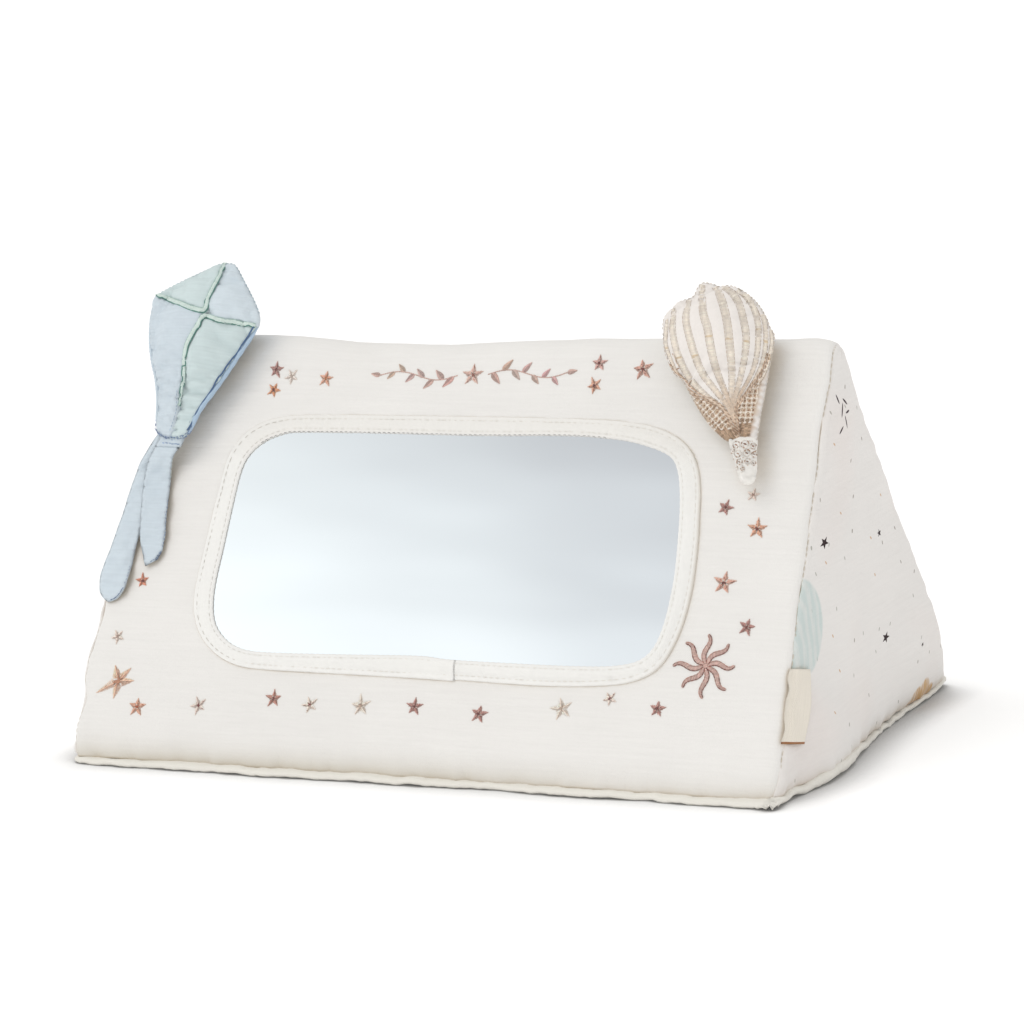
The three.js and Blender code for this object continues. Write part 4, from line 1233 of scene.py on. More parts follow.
def along_band(dist_of, lift, pitch, long, w, material, name, tone_of, where=None):
    """Stitches that follow the tape at a distance from its inner edge."""
    total = band_place[-1] + np.linalg.norm(band_in[0] - band_in[-1])
    bag = Bag()
    g = np.random.default_rng(5)
    count = int(total / pitch)
    idx = np.arange(len(band_in))
    for k in range(count):
        a = (k + g.uniform(-0.08, 0.08)) * pitch
        pts = []
        for t in np.linspace(-0.5, 0.5, 4):
            place = (a + t * long) % total
            j = np.interp(place, np.r_[band_place, total], np.r_[idx, len(band_in)])
            i0, i1, fr = int(j) % len(band_in), (int(j) + 1) % len(band_in), j - int(j)
            base = band_in[i0] * (1 - fr) + band_in[i1] * fr
            o = out_dir[i0]
            wd = width[i0]
            dist = dist_of(wd)
            p = base + o * dist
            f_ = dist / wd
            crest = 3.95 - 0.45 * f_
            end = band_cover[i0] + band_step[i0]
            h = crest + (end - crest) * float(smooth((f_ - 0.30) / 0.66))
            h += lift - (0.16 if abs(t) > 0.4 else 0.0)
            pts.append(panel(p[0], p[1], h))
        if where is not None and not where(base, o):
            continue
        v, f = spindle(np.array(pts), [w * 0.6, w, w, w * 0.6], sides=5, ups=[0, -SF, CF])
        bag.add(v, f, colour=tone_of(base))
    ob = bag.make(name, material)
    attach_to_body(ob, "stand")
    return ob


along_band(lambda wd: 1.7, -0.02, 2.7, 1.9, 0.15, embroidery, "binding_inner_stitches",
           lambda b: lin(238, 236, 230) if b[0] > -90 else lin(222, 220, 214))
along_band(lambda wd: wd - 1.9, 0.02, 2.9, 1.9, 0.15, embroidery, "binding_outer_stitches",
           lambda b: lin(236, 233, 226) if b[0] > -90 else lin(208, 205, 197))
# stitches at the window's upper edge, coloured dark grey as a painted shadow line along the tape's inner edge
along_band(lambda wd: 0.25, -0.40, 2.4, 1.6, 0.15, embroidery, "binding_top_edge_stitches_painted_shadow",
           lambda b: lin(112, 114, 118) if b[0] < -20 else lin(150, 151, 152), where=lambda b, o: o[1] > 0.8 and b[0] < 70)


# ------------------------------------------------------------------ seams of the covers: thread in the grooves
def seam_stitches():
    bag = Bag()
    g = np.random.default_rng(9)
    for side in (-1, 1):
        v = V0 + 2
        while v < V1 - 2:
            t = np.linspace(v, v + 2.1, 4)
            x = side * (167.99 + 0.02) + 0.35 * n_long(t, 60 * side)
            n = front_height(np.full(4, side * 168.54), t) - 0.52
            p = puff(on_slope(front_frame, x + side * 0.2, t, n))
            a, f = spindle(p, [0.07, 0.15, 0.15, 0.07], sides=5, ups=[side * 0.7, -SF * 0.7, CF * 0.7])
            bag.add(a, f, colour=lin(216, 209, 194))
            v += 2.9 + g.uniform(-0.1, 0.1)
    ob = bag.make("front_seam_stitches", embroidery)
    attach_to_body(ob, "stand")


seam_stitches()

# ------------------------------------------------------------------ where a photographed point lies on a surface
cam_mm = np.array(cam.matrix_world.translation) * 1000
CAM_P = np.array([cam_mm[0], (cam_mm[1] + DEPTH / 2) * CF + cam_mm[2] * SF, -(cam_mm[1] + DEPTH / 2) * SF + cam_mm[2] * CF])


class Surface:
    """A triangulated surface in panel millimetres that is hit along the photograph's lines of sight."""

    def __init__(self, v, tris):
        from mathutils.bvhtree import BVHTree

        self.tree = BVHTree.FromPolygons([tuple(map(float, p)) for p in v], [tuple(map(int, t)) for t in tris])

    def seen(self, x, s, n0=12.0, lift=0.0):
        b = Vector((float(x), float(s), float(n0)))
        d = (b - Vector(CAM_P)).normalized()
        hit, normal, _, _ = self.tree.ray_cast(b - d * 60, d, 120)
        if hit is None:
            hit, normal, _, _ = self.tree.find_nearest(b - d * 8)
        if normal.dot(d) > 0:
            normal = -normal
        return np.array(hit + normal * lift), np.array(normal)

    def line(self, points, n0=12.0, lift=0.0):
        got = [self.seen(x, s, n0, lift) for x, s in points]
        return np.array([g[0] for g in got]), np.array([g[1] for g in got])


def to_row(p):
    p = np.asarray(p, float)
    return panel(p[..., 0], p[..., 1], p[..., 2])


def turn_row(n):
    n = np.asarray(n, float)
    return np.stack([n[..., 0], CF * n[..., 1] - SF * n[..., 2], SF * n[..., 1] + CF * n[..., 2]], -1)


# ------------------------------------------------------------------ embroidery on the front cover
def cover_at(x, s, lift=0.0):
    """The front cover's surface where the photograph shows (x, s), measured on the nominal plane."""
    x, s = np.broadcast_arrays(np.asarray(x, float), np.asarray(s, float))
    n = front_height(np.clip(x, -168, 168), s)
    xx, ss = x + n * 0.5228, s - n * 0.2816
    base = np.stack([xx, ss, n * 0], -1)
    moved = puff(to_row(base))
    dx = moved[..., 0] - xx
    n = front_height(np.clip(xx - dx, -168.4, 168.4), ss)
    return puff(on_slope(front_frame, xx - dx, ss, n + lift))


def stitch(bag, a, b, w, colour, rise=0.28, floor_=0.0, steps=4, sides=6):
    """One embroidery thread between two places on the front cover."""
    t = np.linspace(0, 1, steps)
    x = a[0] + (b[0] - a[0]) * t
    s = a[1] + (b[1] - a[1]) * t
    lift = floor_ + rise * np.sin(np.pi * np.clip(t * 0.9 + 0.05, 0, 1)) ** 0.6 - 0.06
    p = cover_at(x, s, lift)
    v, f = spindle(p, w * np.array([0.55] + [1.0] * (steps - 2) + [0.45]), sides=sides, ups=[0, -SF, CF])
    bag.add(v, f, colour=colour)


ROSE, DARK, COPPER, ORANGE, PALE, RED = (
    (188, 138, 128), (138, 88, 84), (205, 146, 118), (214, 140, 96), (206, 190, 178), (196, 112, 82))


def tone(rgb, k, g=None):
    j = 0 if g is None else g.uniform(-9, 9)
    return lin(*[min(255, max(0, 255 - (255 - c * k) * 0.76 + j)) for c in rgb])


def star(bag, x, s, r, turn, rgb, seed, sharp=(1, 1, 1, 1, 1), inner=0.40, centre=None, angles=None):
    g = np.random.default_rng(seed)
    ri = r * inner
    if angles is None:
        angles = [turn + 2 * np.pi * i / 5 for i in range(5)]
    for i in range(5):
        a = angles[i]
        after, before = angles[(i + 1) % 5], angles[i - 1]
        rr = r * sharp[i]
        tip = np.array([x + rr * math.cos(a), s + rr * math.sin(a)])
        for sign in (-1, 1):
            b = a + sign * (((after - a) % (2 * np.pi)) if sign > 0 else ((a - before) % (2 * np.pi))) / 2
            notch = np.array([x + ri * math.cos(b), s + ri * math.sin(b)])
            root = np.array([x, s]) + 0.06 * r * np.array([math.cos(a), math.sin(a)])
            # painted light: the half of each arm that faces up and to the left is coloured lighter and the other half
            # darker, lit and shaded facets
            k = 1.27 if (math.cos(a) * 0.3 + math.sin(a) * 0.4) * sign > 0 else 0.93
            rows = 8 if r < 6 else 13
            for j in range(rows):
                t = (j + 0.5) / rows
                ridge = root + (tip - root) * (0.05 + 0.93 * t)
                full = 0.035 * r * math.sin(np.pi * t) * sign
                edge = notch + (tip - notch) * (0.0 + 0.97 * t) + full * np.array([-math.sin(a), math.cos(a)])
                edge = edge + g.normal(0, 0.09, 2)
                ridge = ridge + (tip - root) * 0.05
                kk = k * (0.94 + 0.14 * g.random()) * (0.90 + 0.16 * t)
                stitch(bag, edge, ridge, 0.17 * (1 - 0.3 * t), tone(rgb, kk, g), rise=0.22, floor_=0.05)
        # the raised ridge of each arm, coloured lighter as a painted highlight
        stitch(bag, (x, s), tip, 0.2, tone(rgb, 1.08, g), rise=0.2, floor_=0.22, steps=5)
        for _ in range(2):
            u, q = g.uniform(0.25, 0.8), g.uniform(-0.16, 0.16) * r
            at = np.array([x, s]) + (tip - np.array([x, s])) * u + q * (1 - u) * np.array([-math.sin(a), math.cos(a)])
            d = 0.09 * r * np.array([math.cos(a + 0.4), math.sin(a + 0.4)])
            stitch(bag, at - d, at + d, 0.13, lin(*np.clip(np.array(centre or DARK) * 0.92, 0, 255)), rise=0.12, floor_=0.34)
    for j in range(6 if r < 6 else 14):
        a = g.uniform(0, np.pi)
        d = (0.20 if r < 6 else 0.26) * r * np.array([math.cos(a), math.sin(a)])
        off = g.normal(0, 0.06 * r, 2)
        rgb_ = np.array(centre or DARK) * g.uniform(0.76, 0.98)
        stitch(bag, np.array([x, s]) - d + off, np.array([x, s]) + d + off, 0.2, lin(*np.clip(rgb_, 0, 255)), rise=0.25, floor_=0.28)


def embroidery_on_front():
    bag = Bag()
    stars = [
        (-99.5, 185.0, 4.3, 0.3, (168, 116, 108), DARK), (-91.1, 182.5, 4.0, 0.9, (214, 200, 190), (196, 178, 168)),
        (-99.2, 176.4, 3.9, 1.2, ORANGE, DARK), (-73.4, 182.7, 4.4, 0.25, (204, 146, 120), ORANGE),
        (61.7, 189.6, 4.4, 0.35, (190, 142, 132), DARK), (60.7, 180.0, 4.2, 0.8, COPPER, DARK),
        (82.6, 187.2, 5.6, 0.5, (196, 140, 122), DARK), (141.8, 133.2, 3.4, 0.2, (204, 184, 172), (170, 140, 128)),
        (129.9, 127.3, 4.3, 0.0, (160, 106, 98), DARK), (145.7, 118.5, 5.3, 0.3, (212, 148, 116), DARK),
        (134.1, 94.6, 6.0, 0.2, (206, 146, 124), DARK), (147.1, 76.1, 4.6, 0.1, (156, 100, 92), DARK),
        (-150.8, 85.8, 4.2, 0.5, RED, DARK), (-159.0, 59.4, 4.2, 0.9, (210, 192, 180), (184, 160, 148)),
        (-141.9, 27.6, 5.2, 0.3, COPPER, RED), (-110.2, 29.8, 4.9, 0.75, (206, 186, 176), DARK),
        (-72.4, 34.8, 4.6, 0.35, (172, 112, 96), DARK), (-53.9, 33.0, 4.6, 0.7, (212, 196, 182), DARK),
        (-28.7, 33.7, 5.6, 0.45, (214, 198, 184), (196, 172, 156)), (-2.2, 34.6, 4.6, 0.3, (158, 102, 92), DARK),
        (29.3, 33.0, 4.8, 0.2, (164, 108, 98), DARK), (67.8, 37.2, 5.9, 0.6, (214, 198, 184), (196, 174, 158)),
        (89.4, 42.6, 3.7, 0.9, (208, 190, 178), DARK), (111.9, 39.3, 4.5, 0.25, (166, 112, 102), DARK),
    ]
    for i, (x, s, r, turn, rgb, centre) in enumerate(stars):
        g = np.random.default_rng(100 + i)
        if min(rgb) > 165:
            rgb = tuple(c * 1.09 for c in rgb)
            centre = tuple(c * 1.08 for c in centre)
        star(bag, x, s, r * 0.85, turn, rgb, 50 + i, sharp=g.uniform(0.88, 1.14, 5), inner=0.45, centre=centre)
    # the large star at the lower left, one arm drawn out
    star(bag, -154.4, 38.9, 8.4, 0.0, (236, 182, 152), 7, sharp=(0.98, 0.98, 0.94, 1.40, 0.98), inner=0.40, centre=(216, 160, 132),
         angles=[rad(v) for v in (4, 50, 116, 212, 266)])

    # the sun: eight tapering rays, each an S
    g = np.random.default_rng(3)
    cx, cs = 130.9, 58.7
    for i in range(8):
        a = 2 * np.pi * i / 8 + 0.07
        long = 13.2 + g.uniform(-0.8, 1.0)
        t = np.linspace(0.0, 1.0, 26)
        bend = 0.95 * np.sin(t * 2.0 * np.pi) * (0.55 + 0.5 * t) * 1.7
        r = 1.0 + long * t
        px = cx + r * math.cos(a) - bend * math.sin(a)
        py = cs + r * math.sin(a) + bend * math.cos(a)
        tx, ty = np.gradient(px), np.gradient(py)
        k = np.hypot(tx, ty)
        nx, ny = -ty / k, tx / k
        w = 0.86 * np.sin(np.pi * np.clip(t * 0.97 + 0.02, 0, 1) ** 0.8) ** 0.7 * (1 - 0.3 * t) + 0.12
        for j in range(1, 25):
            lean = 0.5
            p0 = (px[j] - nx[j] * w[j] - tx[j] / k[j] * lean * w[j], py[j] - ny[j] * w[j] - ty[j] / k[j] * lean * w[j])
            p1 = (px[j] + nx[j] * w[j] + tx[j] / k[j] * lean * w[j], py[j] + ny[j] * w[j] + ty[j] / k[j] * lean * w[j])
            stitch(bag, p0, p1, 0.22, tone((212, 168, 156), g.uniform(0.9, 1.1) * (1.06 - 0.16 * t[j]), g), rise=0.3, floor_=0.02)
        for side in (-1, 1):
            ex, ey = px + side * nx * (w + 0.14), py + side * ny * (w + 0.14)
            for j in range(0, 24, 3):
                # outline threads of the rays; those on the side facing down and to the right are coloured dark as
                # painted shadow, the others lighter
                painted_shadow_side = side * (ny[j] * 0.8 - nx[j] * 0.5) < 0
                rgb = np.array((126, 70, 66) if painted_shadow_side else (184, 128, 116)) * g.uniform(0.9, 1.1)
                stitch(bag, (ex[j], ey[j]), (ex[min(j + 3, 25)], ey[min(j + 3, 25)]), 0.19 if painted_shadow_side else 0.15, lin(*np.clip(rgb, 0, 255)),
                       rise=0.08, floor_=0.24)
    for j in range(12):
        a = np.pi * j / 12
        d = 1.15 * np.array([math.cos(a), math.sin(a)])
        stitch(bag, (cx - d[0], cs - d[1]), (cx + d[0], cs + d[1]), 0.22, tone((204, 156, 142), g.uniform(0.9, 1.05), g), rise=0.4,
               floor_=0.1)

    # the garland over the mirror: a stem with satin leaves on both sides of a star
    g = np.random.default_rng(21)
    rose = (206, 164, 152)

    def leaf(x0, s0, x1, s1, wide, rgb):
        d = np.array([x1 - x0, s1 - s0])
        long = math.hypot(*d)
        d /= long
        nn = np.array([-d[1], d[0]])
        count = max(6, int(long / 0.42))
        for j in range(count):
            t = (j + 0.5) / count
            w = wide * math.sin(np.pi * t**0.8) ** 0.9 + 0.1
            c = np.array([x0, s0]) + d * long * t
            for sign in (-1, 1):
                stitch(bag, c + d * 0.5, c + nn * sign * w - d * 0.35 * w, 0.17,
                       tone(rgb, (1.06 if sign > 0 else 0.86) * g.uniform(0.93, 1.05), g), rise=0.25, floor_=0.05)

    for side in (-1, 1):
        xs = np.linspace(7.5, 46.5, 40)
        ys = 185.8 + 2.0 * np.sin((xs - 7.5) / 39 * 2 * np.pi) * (1 if side > 0 else -1) - 0.0 * xs
        for j in range(0, 39):
            stitch(bag, (side * xs[j] + 0.3, ys[j]), (side * xs[j + 1] + 0.3, ys[j + 1]), 0.24, tone((194, 150, 138), g.uniform(0.92, 1.08), g),
                   rise=0.12, floor_=0.12)
        for k, j in enumerate(range(2, 37, 5)):
            x, y = side * xs[j] + 0.3, ys[j]
            turn = 1 if k % 2 else -1
            size = 6.6 - 0.35 * k
            ang = rad(48) * turn
            dx, dy = side * math.cos(ang) * size, math.sin(ang) * size
            leaf(x, y, x + dx, y + dy, 1.45 - 0.07 * k, tuple(c * g.uniform(0.95, 1.05) for c in rose))
        x, y = side * xs[-1] + 0.3, ys[-1]
        leaf(x, y, x + side * 4.4, y + 0.6, 1.1, rose)
    star(bag, 0.3, 185.8, 5.4, 0.31, (212, 168, 154), 77, inner=0.42, centre=(176, 126, 114))
    ob = bag.make("front_embroidery", embroidery)
    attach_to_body(ob, "stand")


embroidery_on_front()


# ------------------------------------------------------------------ stuffed toys
def flat_mesh(outline, gap, lines=()):
    """Points and triangles that fill a closed line, with the given lines as edges."""
    pts = [tuple(p) for p in outline]
    n = len(pts)
    edges = [(i, (i + 1) % n) for i in range(n)]
    for line in lines:
        a = len(pts)
        pts += [tuple(p) for p in line]
        edges += [(a + i, a + i + 1) for i in range(len(line) - 1)]
    lo, hi = outline.min(0), outline.max(0)
    rows = np.arange(lo[1], hi[1] + gap, gap * 0.866)
    grid = []
    for i, y in enumerate(rows):
        xs = np.arange(lo[0], hi[0] + gap, gap) + (gap / 2 if i % 2 else 0)
        grid.append(np.stack([xs, np.full(len(xs), y)], 1))
    grid = np.vstack(grid) + np.random.default_rng(1).uniform(-0.12, 0.12, (sum(map(len, grid)), 2)) * gap
    keep = inside(grid, outline) & (line_distance(grid, outline, closed=True)[0] > 0.55 * gap)
    for line in lines:
        keep &= line_distance(grid, np.asarray(line))[0] > 0.5 * gap
    pts += [tuple(p) for p in grid[keep]]
    vs, _, fs, _, _, _ = delaunay_2d_cdt([Vector(p) for p in pts], edges, [], 0, 1e-4)
    v = np.array([[p.x, p.y] for p in vs])
    f = np.array([t for t in fs if len(t) == 3])
    mid = v[f].mean(1)
    f = f[inside(mid, outline)]
    a, b, c = v[f[:, 0]], v[f[:, 1]], v[f[:, 2]]
    area = (b[:, 0] - a[:, 0]) * (c[:, 1] - a[:, 1]) - (b[:, 1] - a[:, 1]) * (c[:, 0] - a[:, 0])
    f = np.where(area[:, None] < 0, f[:, ::-1], f)
    f = f[np.abs(area) > 1e-5]
    used = np.unique(f)
    back = np.full(len(v), -1)
    back[used] = np.arange(len(used))
    return v[used], back[f]


def rim_of(f):
    seen = {}
    for t in f:
        for a, b in ((t[0], t[1]), (t[1], t[2]), (t[2], t[0])):
            seen[(a, b)] = 1
    edge = {}
    for a, b in seen:
        if (b, a) not in seen:
            edge[a] = b
    first = next(iter(edge))
    loop = [first]
    while edge[loop[-1]] != first and len(loop) <= len(edge):
        loop.append(edge[loop[-1]])
    return np.array(loop)


def stuffed(name, outline, gap, high, low, grow, pressure, frames=22, seam_n=12.0, dome=9.0):
    """Two sheets sewn together along outline and stuffed. Returns flat points, triangles, rim, front and back (x, s, n)."""
    v, f = flat_mesh(outline, gap)
    rim = rim_of(f)
    d = line_distance(v, outline, closed=True)[0]
    k = 1 - np.exp(-d / dome)
    is_rim = np.zeros(len(v), bool)
    is_rim[rim] = True
    k[is_rim] = 0
    count = len(v)
    index = np.arange(count)
    index[~is_rim] = np.arange(count, count + (~is_rim).sum())
    pts = np.vstack([np.c_[v, 1.2 * k], np.c_[v, -1.2 * k][~is_rim]]) * 0.01
    tris = [tuple(map(int, t)) for t in f] + [tuple(int(index[i]) for i in t[::-1]) for t in f]
    me = bpy.data.meshes.new(name + "_sim")
    me.from_pydata(pts.tolist(), [], tris)
    ob = bpy.data.objects.new(name + "_sim", me)
    scene.collection.objects.link(ob)
    pin = ob.vertex_groups.new(name="pin")
    pin.add([int(i) for i in rim], 1.0, "REPLACE")
    mod = ob.modifiers.new("cloth", "CLOTH")
    c = mod.settings
    c.quality = 6
    c.mass = 0.15
    c.tension_stiffness = c.compression_stiffness = 12
    c.shear_stiffness = 6
    c.bending_stiffness = 0.06
    c.tension_damping = c.compression_damping = c.shear_damping = 8
    c.air_damping = 2
    c.vertex_group_mass = "pin"
    c.use_pressure = True
    c.uniform_pressure_force = pressure
    c.shrink_min = -grow
    c.shrink_max = -grow
    c.effector_weights.gravity = 0
    mod.collision_settings.use_collision = False
    mod.point_cache.frame_start = 1
    mod.point_cache.frame_end = frames
    for i in range(1, frames + 1):
        scene.frame_set(i)
    got = ob.evaluated_get(bpy.context.evaluated_depsgraph_get()).data
    out_ = np.zeros(len(pts) * 3)
    got.vertices.foreach_get("co", out_)
    out_ = out_.reshape(-1, 3) * 100
    bpy.data.objects.remove(ob)
    bpy.data.meshes.remove(me)
    scene.frame_set(1)
    front, back = out_[:count].copy(), out_[:count].copy()
    back[~is_rim] = out_[count:]
    print(name, "simulated depth", round(float(front[:, 2].max()), 2), round(float(back[:, 2].min()), 2))
    front[:, 2] = seam_n + front[:, 2] * (high - seam_n) / max(front[:, 2].max(), 0.1)
    back[:, 2] = seam_n + back[:, 2] * (seam_n - low) / max(-back[:, 2].min(), 0.1)
    return v, f, rim, front, back


def clear_of_cover(p, gap=0.35):
    """Lifts points that would sink into the front panel."""
    p = p.copy()
    s = np.clip(p[:, 1], 4, 193)
    n = front_height(np.clip(p[:, 0], -168, 168), s) + gap
    on = p[:, 1] < 200
    p[:, 2] = np.where(on, np.maximum(p[:, 2], n), p[:, 2])
    return p


def sheet_piece(name, p, faces, material, thick=0.5, uv=None, **more):
    """A closed thin piece from panel points."""
    f = [tuple(int(i) for i in t) for t in faces]
    used = np.unique(np.array(f))
    back = np.full(len(p), -1)
    back[used] = np.arange(len(used))
    f = [tuple(int(back[i]) for i in t) for t in f]
    q = to_row(p[used])
    uv_ = (p[used][:, :2] if uv is None else uv[used]) + 2000
    extra = {k: np.tile(np.asarray(a)[used], 2) for k, a in more.get("floats", {}).items()}
    colour = more.get("colour")
    if np.ndim(thick):
        thick = np.asarray(thick)[used][:, None]
    v, f = shell(q, f, thick)
    return make(name, v, f, material, uv=np.vstack([uv_, uv_]), floats=extra,
                colour=None if colour is None else np.vstack([colour[used]] * 2))


def cord_tube(path, radius, turns=1.7, sides=10, up=None, taper=2):
    """A two-ply twisted cord."""
    p = np.asarray(path, float)
    v, f = spindle(p, radius, sides=sides, ups=up)
    long = np.r_[0, np.cumsum(np.linalg.norm(np.diff(p, axis=0), axis=1))]
    ring = v[: len(p) * sides].reshape(len(p), sides, 3)
    a = np.linspace(0, 2 * np.pi, sides, endpoint=False)
    k = 1 + 0.16 * np.cos(2 * a[None] - (long * 2 * np.pi / turns)[:, None])
    w = np.ones(len(p))
    w[:taper] = np.linspace(0.4, 1, taper)
    w[-taper:] = np.linspace(1, 0.4, taper)
    ring = p[:, None] + (ring - p[:, None]) * (k * w[:, None])[..., None]
    v[: len(p) * sides] = ring.reshape(-1, 3)
    return v, f


def seam_thread(bag, line3, ups, pitch, long, w, colour, g, lift=0.0, wobble=0.0):
    """Running stitches along a line in panel millimetres."""
    d = np.r_[0, np.cumsum(np.linalg.norm(np.diff(line3, axis=0), axis=1))]
    a = 0.2
    while a + long < d[-1]:
        t = np.linspace(a, a + long, 4)
        p = np.stack([np.interp(t, d, line3[:, j]) for j in range(3)], 1)
        u = np.stack([np.interp(t, d, ups[:, j]) for j in range(3)], 1)
        p = p + u * (lift + np.array([-0.12, 0.06, 0.06, -0.12]))[:, None]
        if wobble:
            p = p + g.normal(0, wobble, 3) * np.array([1, 1, 0.4])
        v, f = spindle(to_row(p), np.array([0.6, 1, 1, 0.6]) * w, sides=5, ups=turn_row(u))
        bag.add(v, f, colour=tone(colour, g.uniform(0.88, 1.1), g))
        a += pitch * g.uniform(0.92, 1.08)


def filling(name, node, body, front, back, f, rim, inset=0.82):
    """The stuffing: the toy's shape, a little smaller."""
    mid = (front + back) / 2
    fr = mid + (front - mid) * inset
    bk = mid + (back - mid) * inset
    c = front.mean(0)
    for q in (fr, bk):
        q[:, :2] = c[:2] + (q[:, :2] - c[:2]) * 0.93
    count = len(front)
    # kept a millimetre under the cloth everywhere
    skin_f, skin_b = Surface(front, f), Surface(back, f)
    for q, skin, sign in ((fr, skin_f, 1), (bk, skin_b, -1)):
        for i in range(count):
            hit = skin.tree.ray_cast(Vector((float(q[i, 0]), float(q[i, 1]), 80.0 * sign)), Vector((0, 0, -1.0 * sign)), 200)[0]
            if hit is not None:
                q[i, 2] = min(q[i, 2], hit.z - 1.2) if sign > 0 else max(q[i, 2], hit.z + 1.2)
    cross = fr[:, 2] < bk[:, 2]
    both = (fr[cross, 2] + bk[cross, 2]) / 2
    fr[cross, 2], bk[cross, 2] = both + 0.05, both - 0.05
    is_rim = np.zeros(count, bool)
    is_rim[rim] = True
    index = np.arange(count)
    index[~is_rim] = np.arange(count, count + (~is_rim).sum())
    v = np.vstack([fr, bk[~is_rim]])
    tris = [tuple(map(int, t)) for t in f] + [tuple(int(index[i]) for i in t[::-1]) for t in f]
    ob = make(name, to_row(v), tris, wad_mat)
    face_out(ob)
    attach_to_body(ob, body)
    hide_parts(node)


# ------------------------------------------------------------------ the kite
KITE = [(-129.0, 233.6), (-125.8, 233.6), (-122.9, 232.0), (-117.6, 225.2), (-110.5, 215.8), (-107.2, 210.6),
        (-105.4, 206.6), (-105.9, 202.6), (-108.4, 198.0), (-113.2, 189.1), (-117.9, 180.4), (-122.7, 172.3),
        (-127.7, 164.7), (-130.4, 158.9), (-131.3, 154.9), (-133.2, 151.2), (-136.3, 150.0), (-140, 149.5),
        (-143.9, 149.7), (-148.0, 151.3), (-150.2, 153.6), (-151.6, 163.0), (-152.8, 169.4), (-155.6, 178.6),
        (-158.4, 184.7), (-161.6, 193.9), (-163.4, 203.2), (-164.2, 211.9), (-163.9, 217.4), (-157.2, 221.8),
        (-148.0, 226.4), (-138.7, 230.6), (-132.4, 233.4)]
kite_line = relax(turned(closed_spline(KITE, 190)), 1)
kv, kf, k_rim, k_front, k_back = stuffed("kite", kite_line, 1.75, 24.6, 2.5, 0.07, 5.0)
rng = np.random.default_rng(40)
k_d = line_distance(kv, kite_line, closed=True)[0]
k_front[:, 2] += (0.55 * n_mid(k_front[:, 0] + 40, k_front[:, 1]) + 0.24 * n_fine(k_front[:, 0] * 0.55, k_front[:, 1] * 0.9)) * smooth(k_d / 5)
# the bottom is gathered flat where the tails are sewn in
pinch = smooth((172 - k_front[:, 1]) / 22)
k_front[:, 2] = 12 + (k_front[:, 2] - 12) * (1 - 0.30 * pinch)
k_front[:, 2] += 0.35 * np.sin(k_front[:, 0] * 1.55) * smooth((165 - k_front[:, 1]) / 12) * smooth(k_d / 2)
K_SPAR = [(-162.6, 218.5), (-157.5, 217), (-149.2, 214.4), (-140.8, 211.7), (-136.1, 211.6)]
K_SPAR2 = [(-135.9, 208.4), (-129.5, 207), (-121.6, 205.9), (-113.7, 204.7), (-107.6, 203.7)]
K_TOP = [(-136.1, 211.6), (-135.1, 217), (-133.3, 222.8), (-131.6, 227.5), (-130.6, 231), (-129.4, 233.6)]
K_LOW = [(-135.9, 208.4), (-138, 204.1), (-140.3, 199.4), (-142, 194.7), (-142.1, 188.9), (-141.4, 183.1), (-140.9, 177.3),
         (-141.0, 172.7), (-140.6, 165.4), (-141.0, 158.6), (-142.2, 150.6)]
surface0 = Surface(k_front, kf)
spar = np.vstack([surface0.line(open_spline(K_SPAR, 16))[0], surface0.line(open_spline(K_SPAR2, 16))[0]])
spine = np.vstack([surface0.line(open_spline(K_TOP, 16))[0][::-1], surface0.line(open_spline(K_LOW, 40))[0]])
# quilted valleys beside the cords
for line, depth in ((spar, 1.15), (spine, 1.1)):
    dd = line_distance(k_front[:, :2], line[:, :2])[0]
    k_front[:, 2] -= depth * np.exp(-((dd / 2.6) ** 2)) * smooth(k_d / 4)
# soft creases drawn by the seams
for pts, depth, w_ in (
    ([(-134.1, 210.5), (-131.4, 211.4), (-127.7, 212.2), (-122.8, 212.3)], 1.3, 2.0),
    ([(-134.9, 187.6), (-129.4, 186.6), (-122.2, 184.2), (-118.6, 182.9)], 1.0, 1.9),
    ([(-141.5, 174.3), (-135.4, 172.8), (-129.3, 171.5), (-125.2, 171.1)], 1.0, 1.8),
    ([(-155.9, 178.7), (-151.3, 179.6), (-146.7, 178.6)], 0.8, 1.9),
    ([(-131.6, 163.3), (-135.8, 164.9), (-139.5, 164.0)], 0.7, 1.7),
):
    line = surface0.line(open_spline(pts, 30))[0]
    dd = line_distance(k_front[:, :2], line[:, :2])[0]
    k_front[:, 2] -= depth * (np.exp(-((dd / w_) ** 2)) - 0.35 * np.exp(-(((dd - 2.1 * w_) / w_) ** 2))) * smooth(k_d / 4)
k_back = clear_of_cover(k_back)

sx_, ss_ = spar[:, 0], spar[:, 1]
order = np.argsort(sx_)
px_, ps_ = spine[:, 0], spine[:, 1]
order2 = np.argsort(ps_)
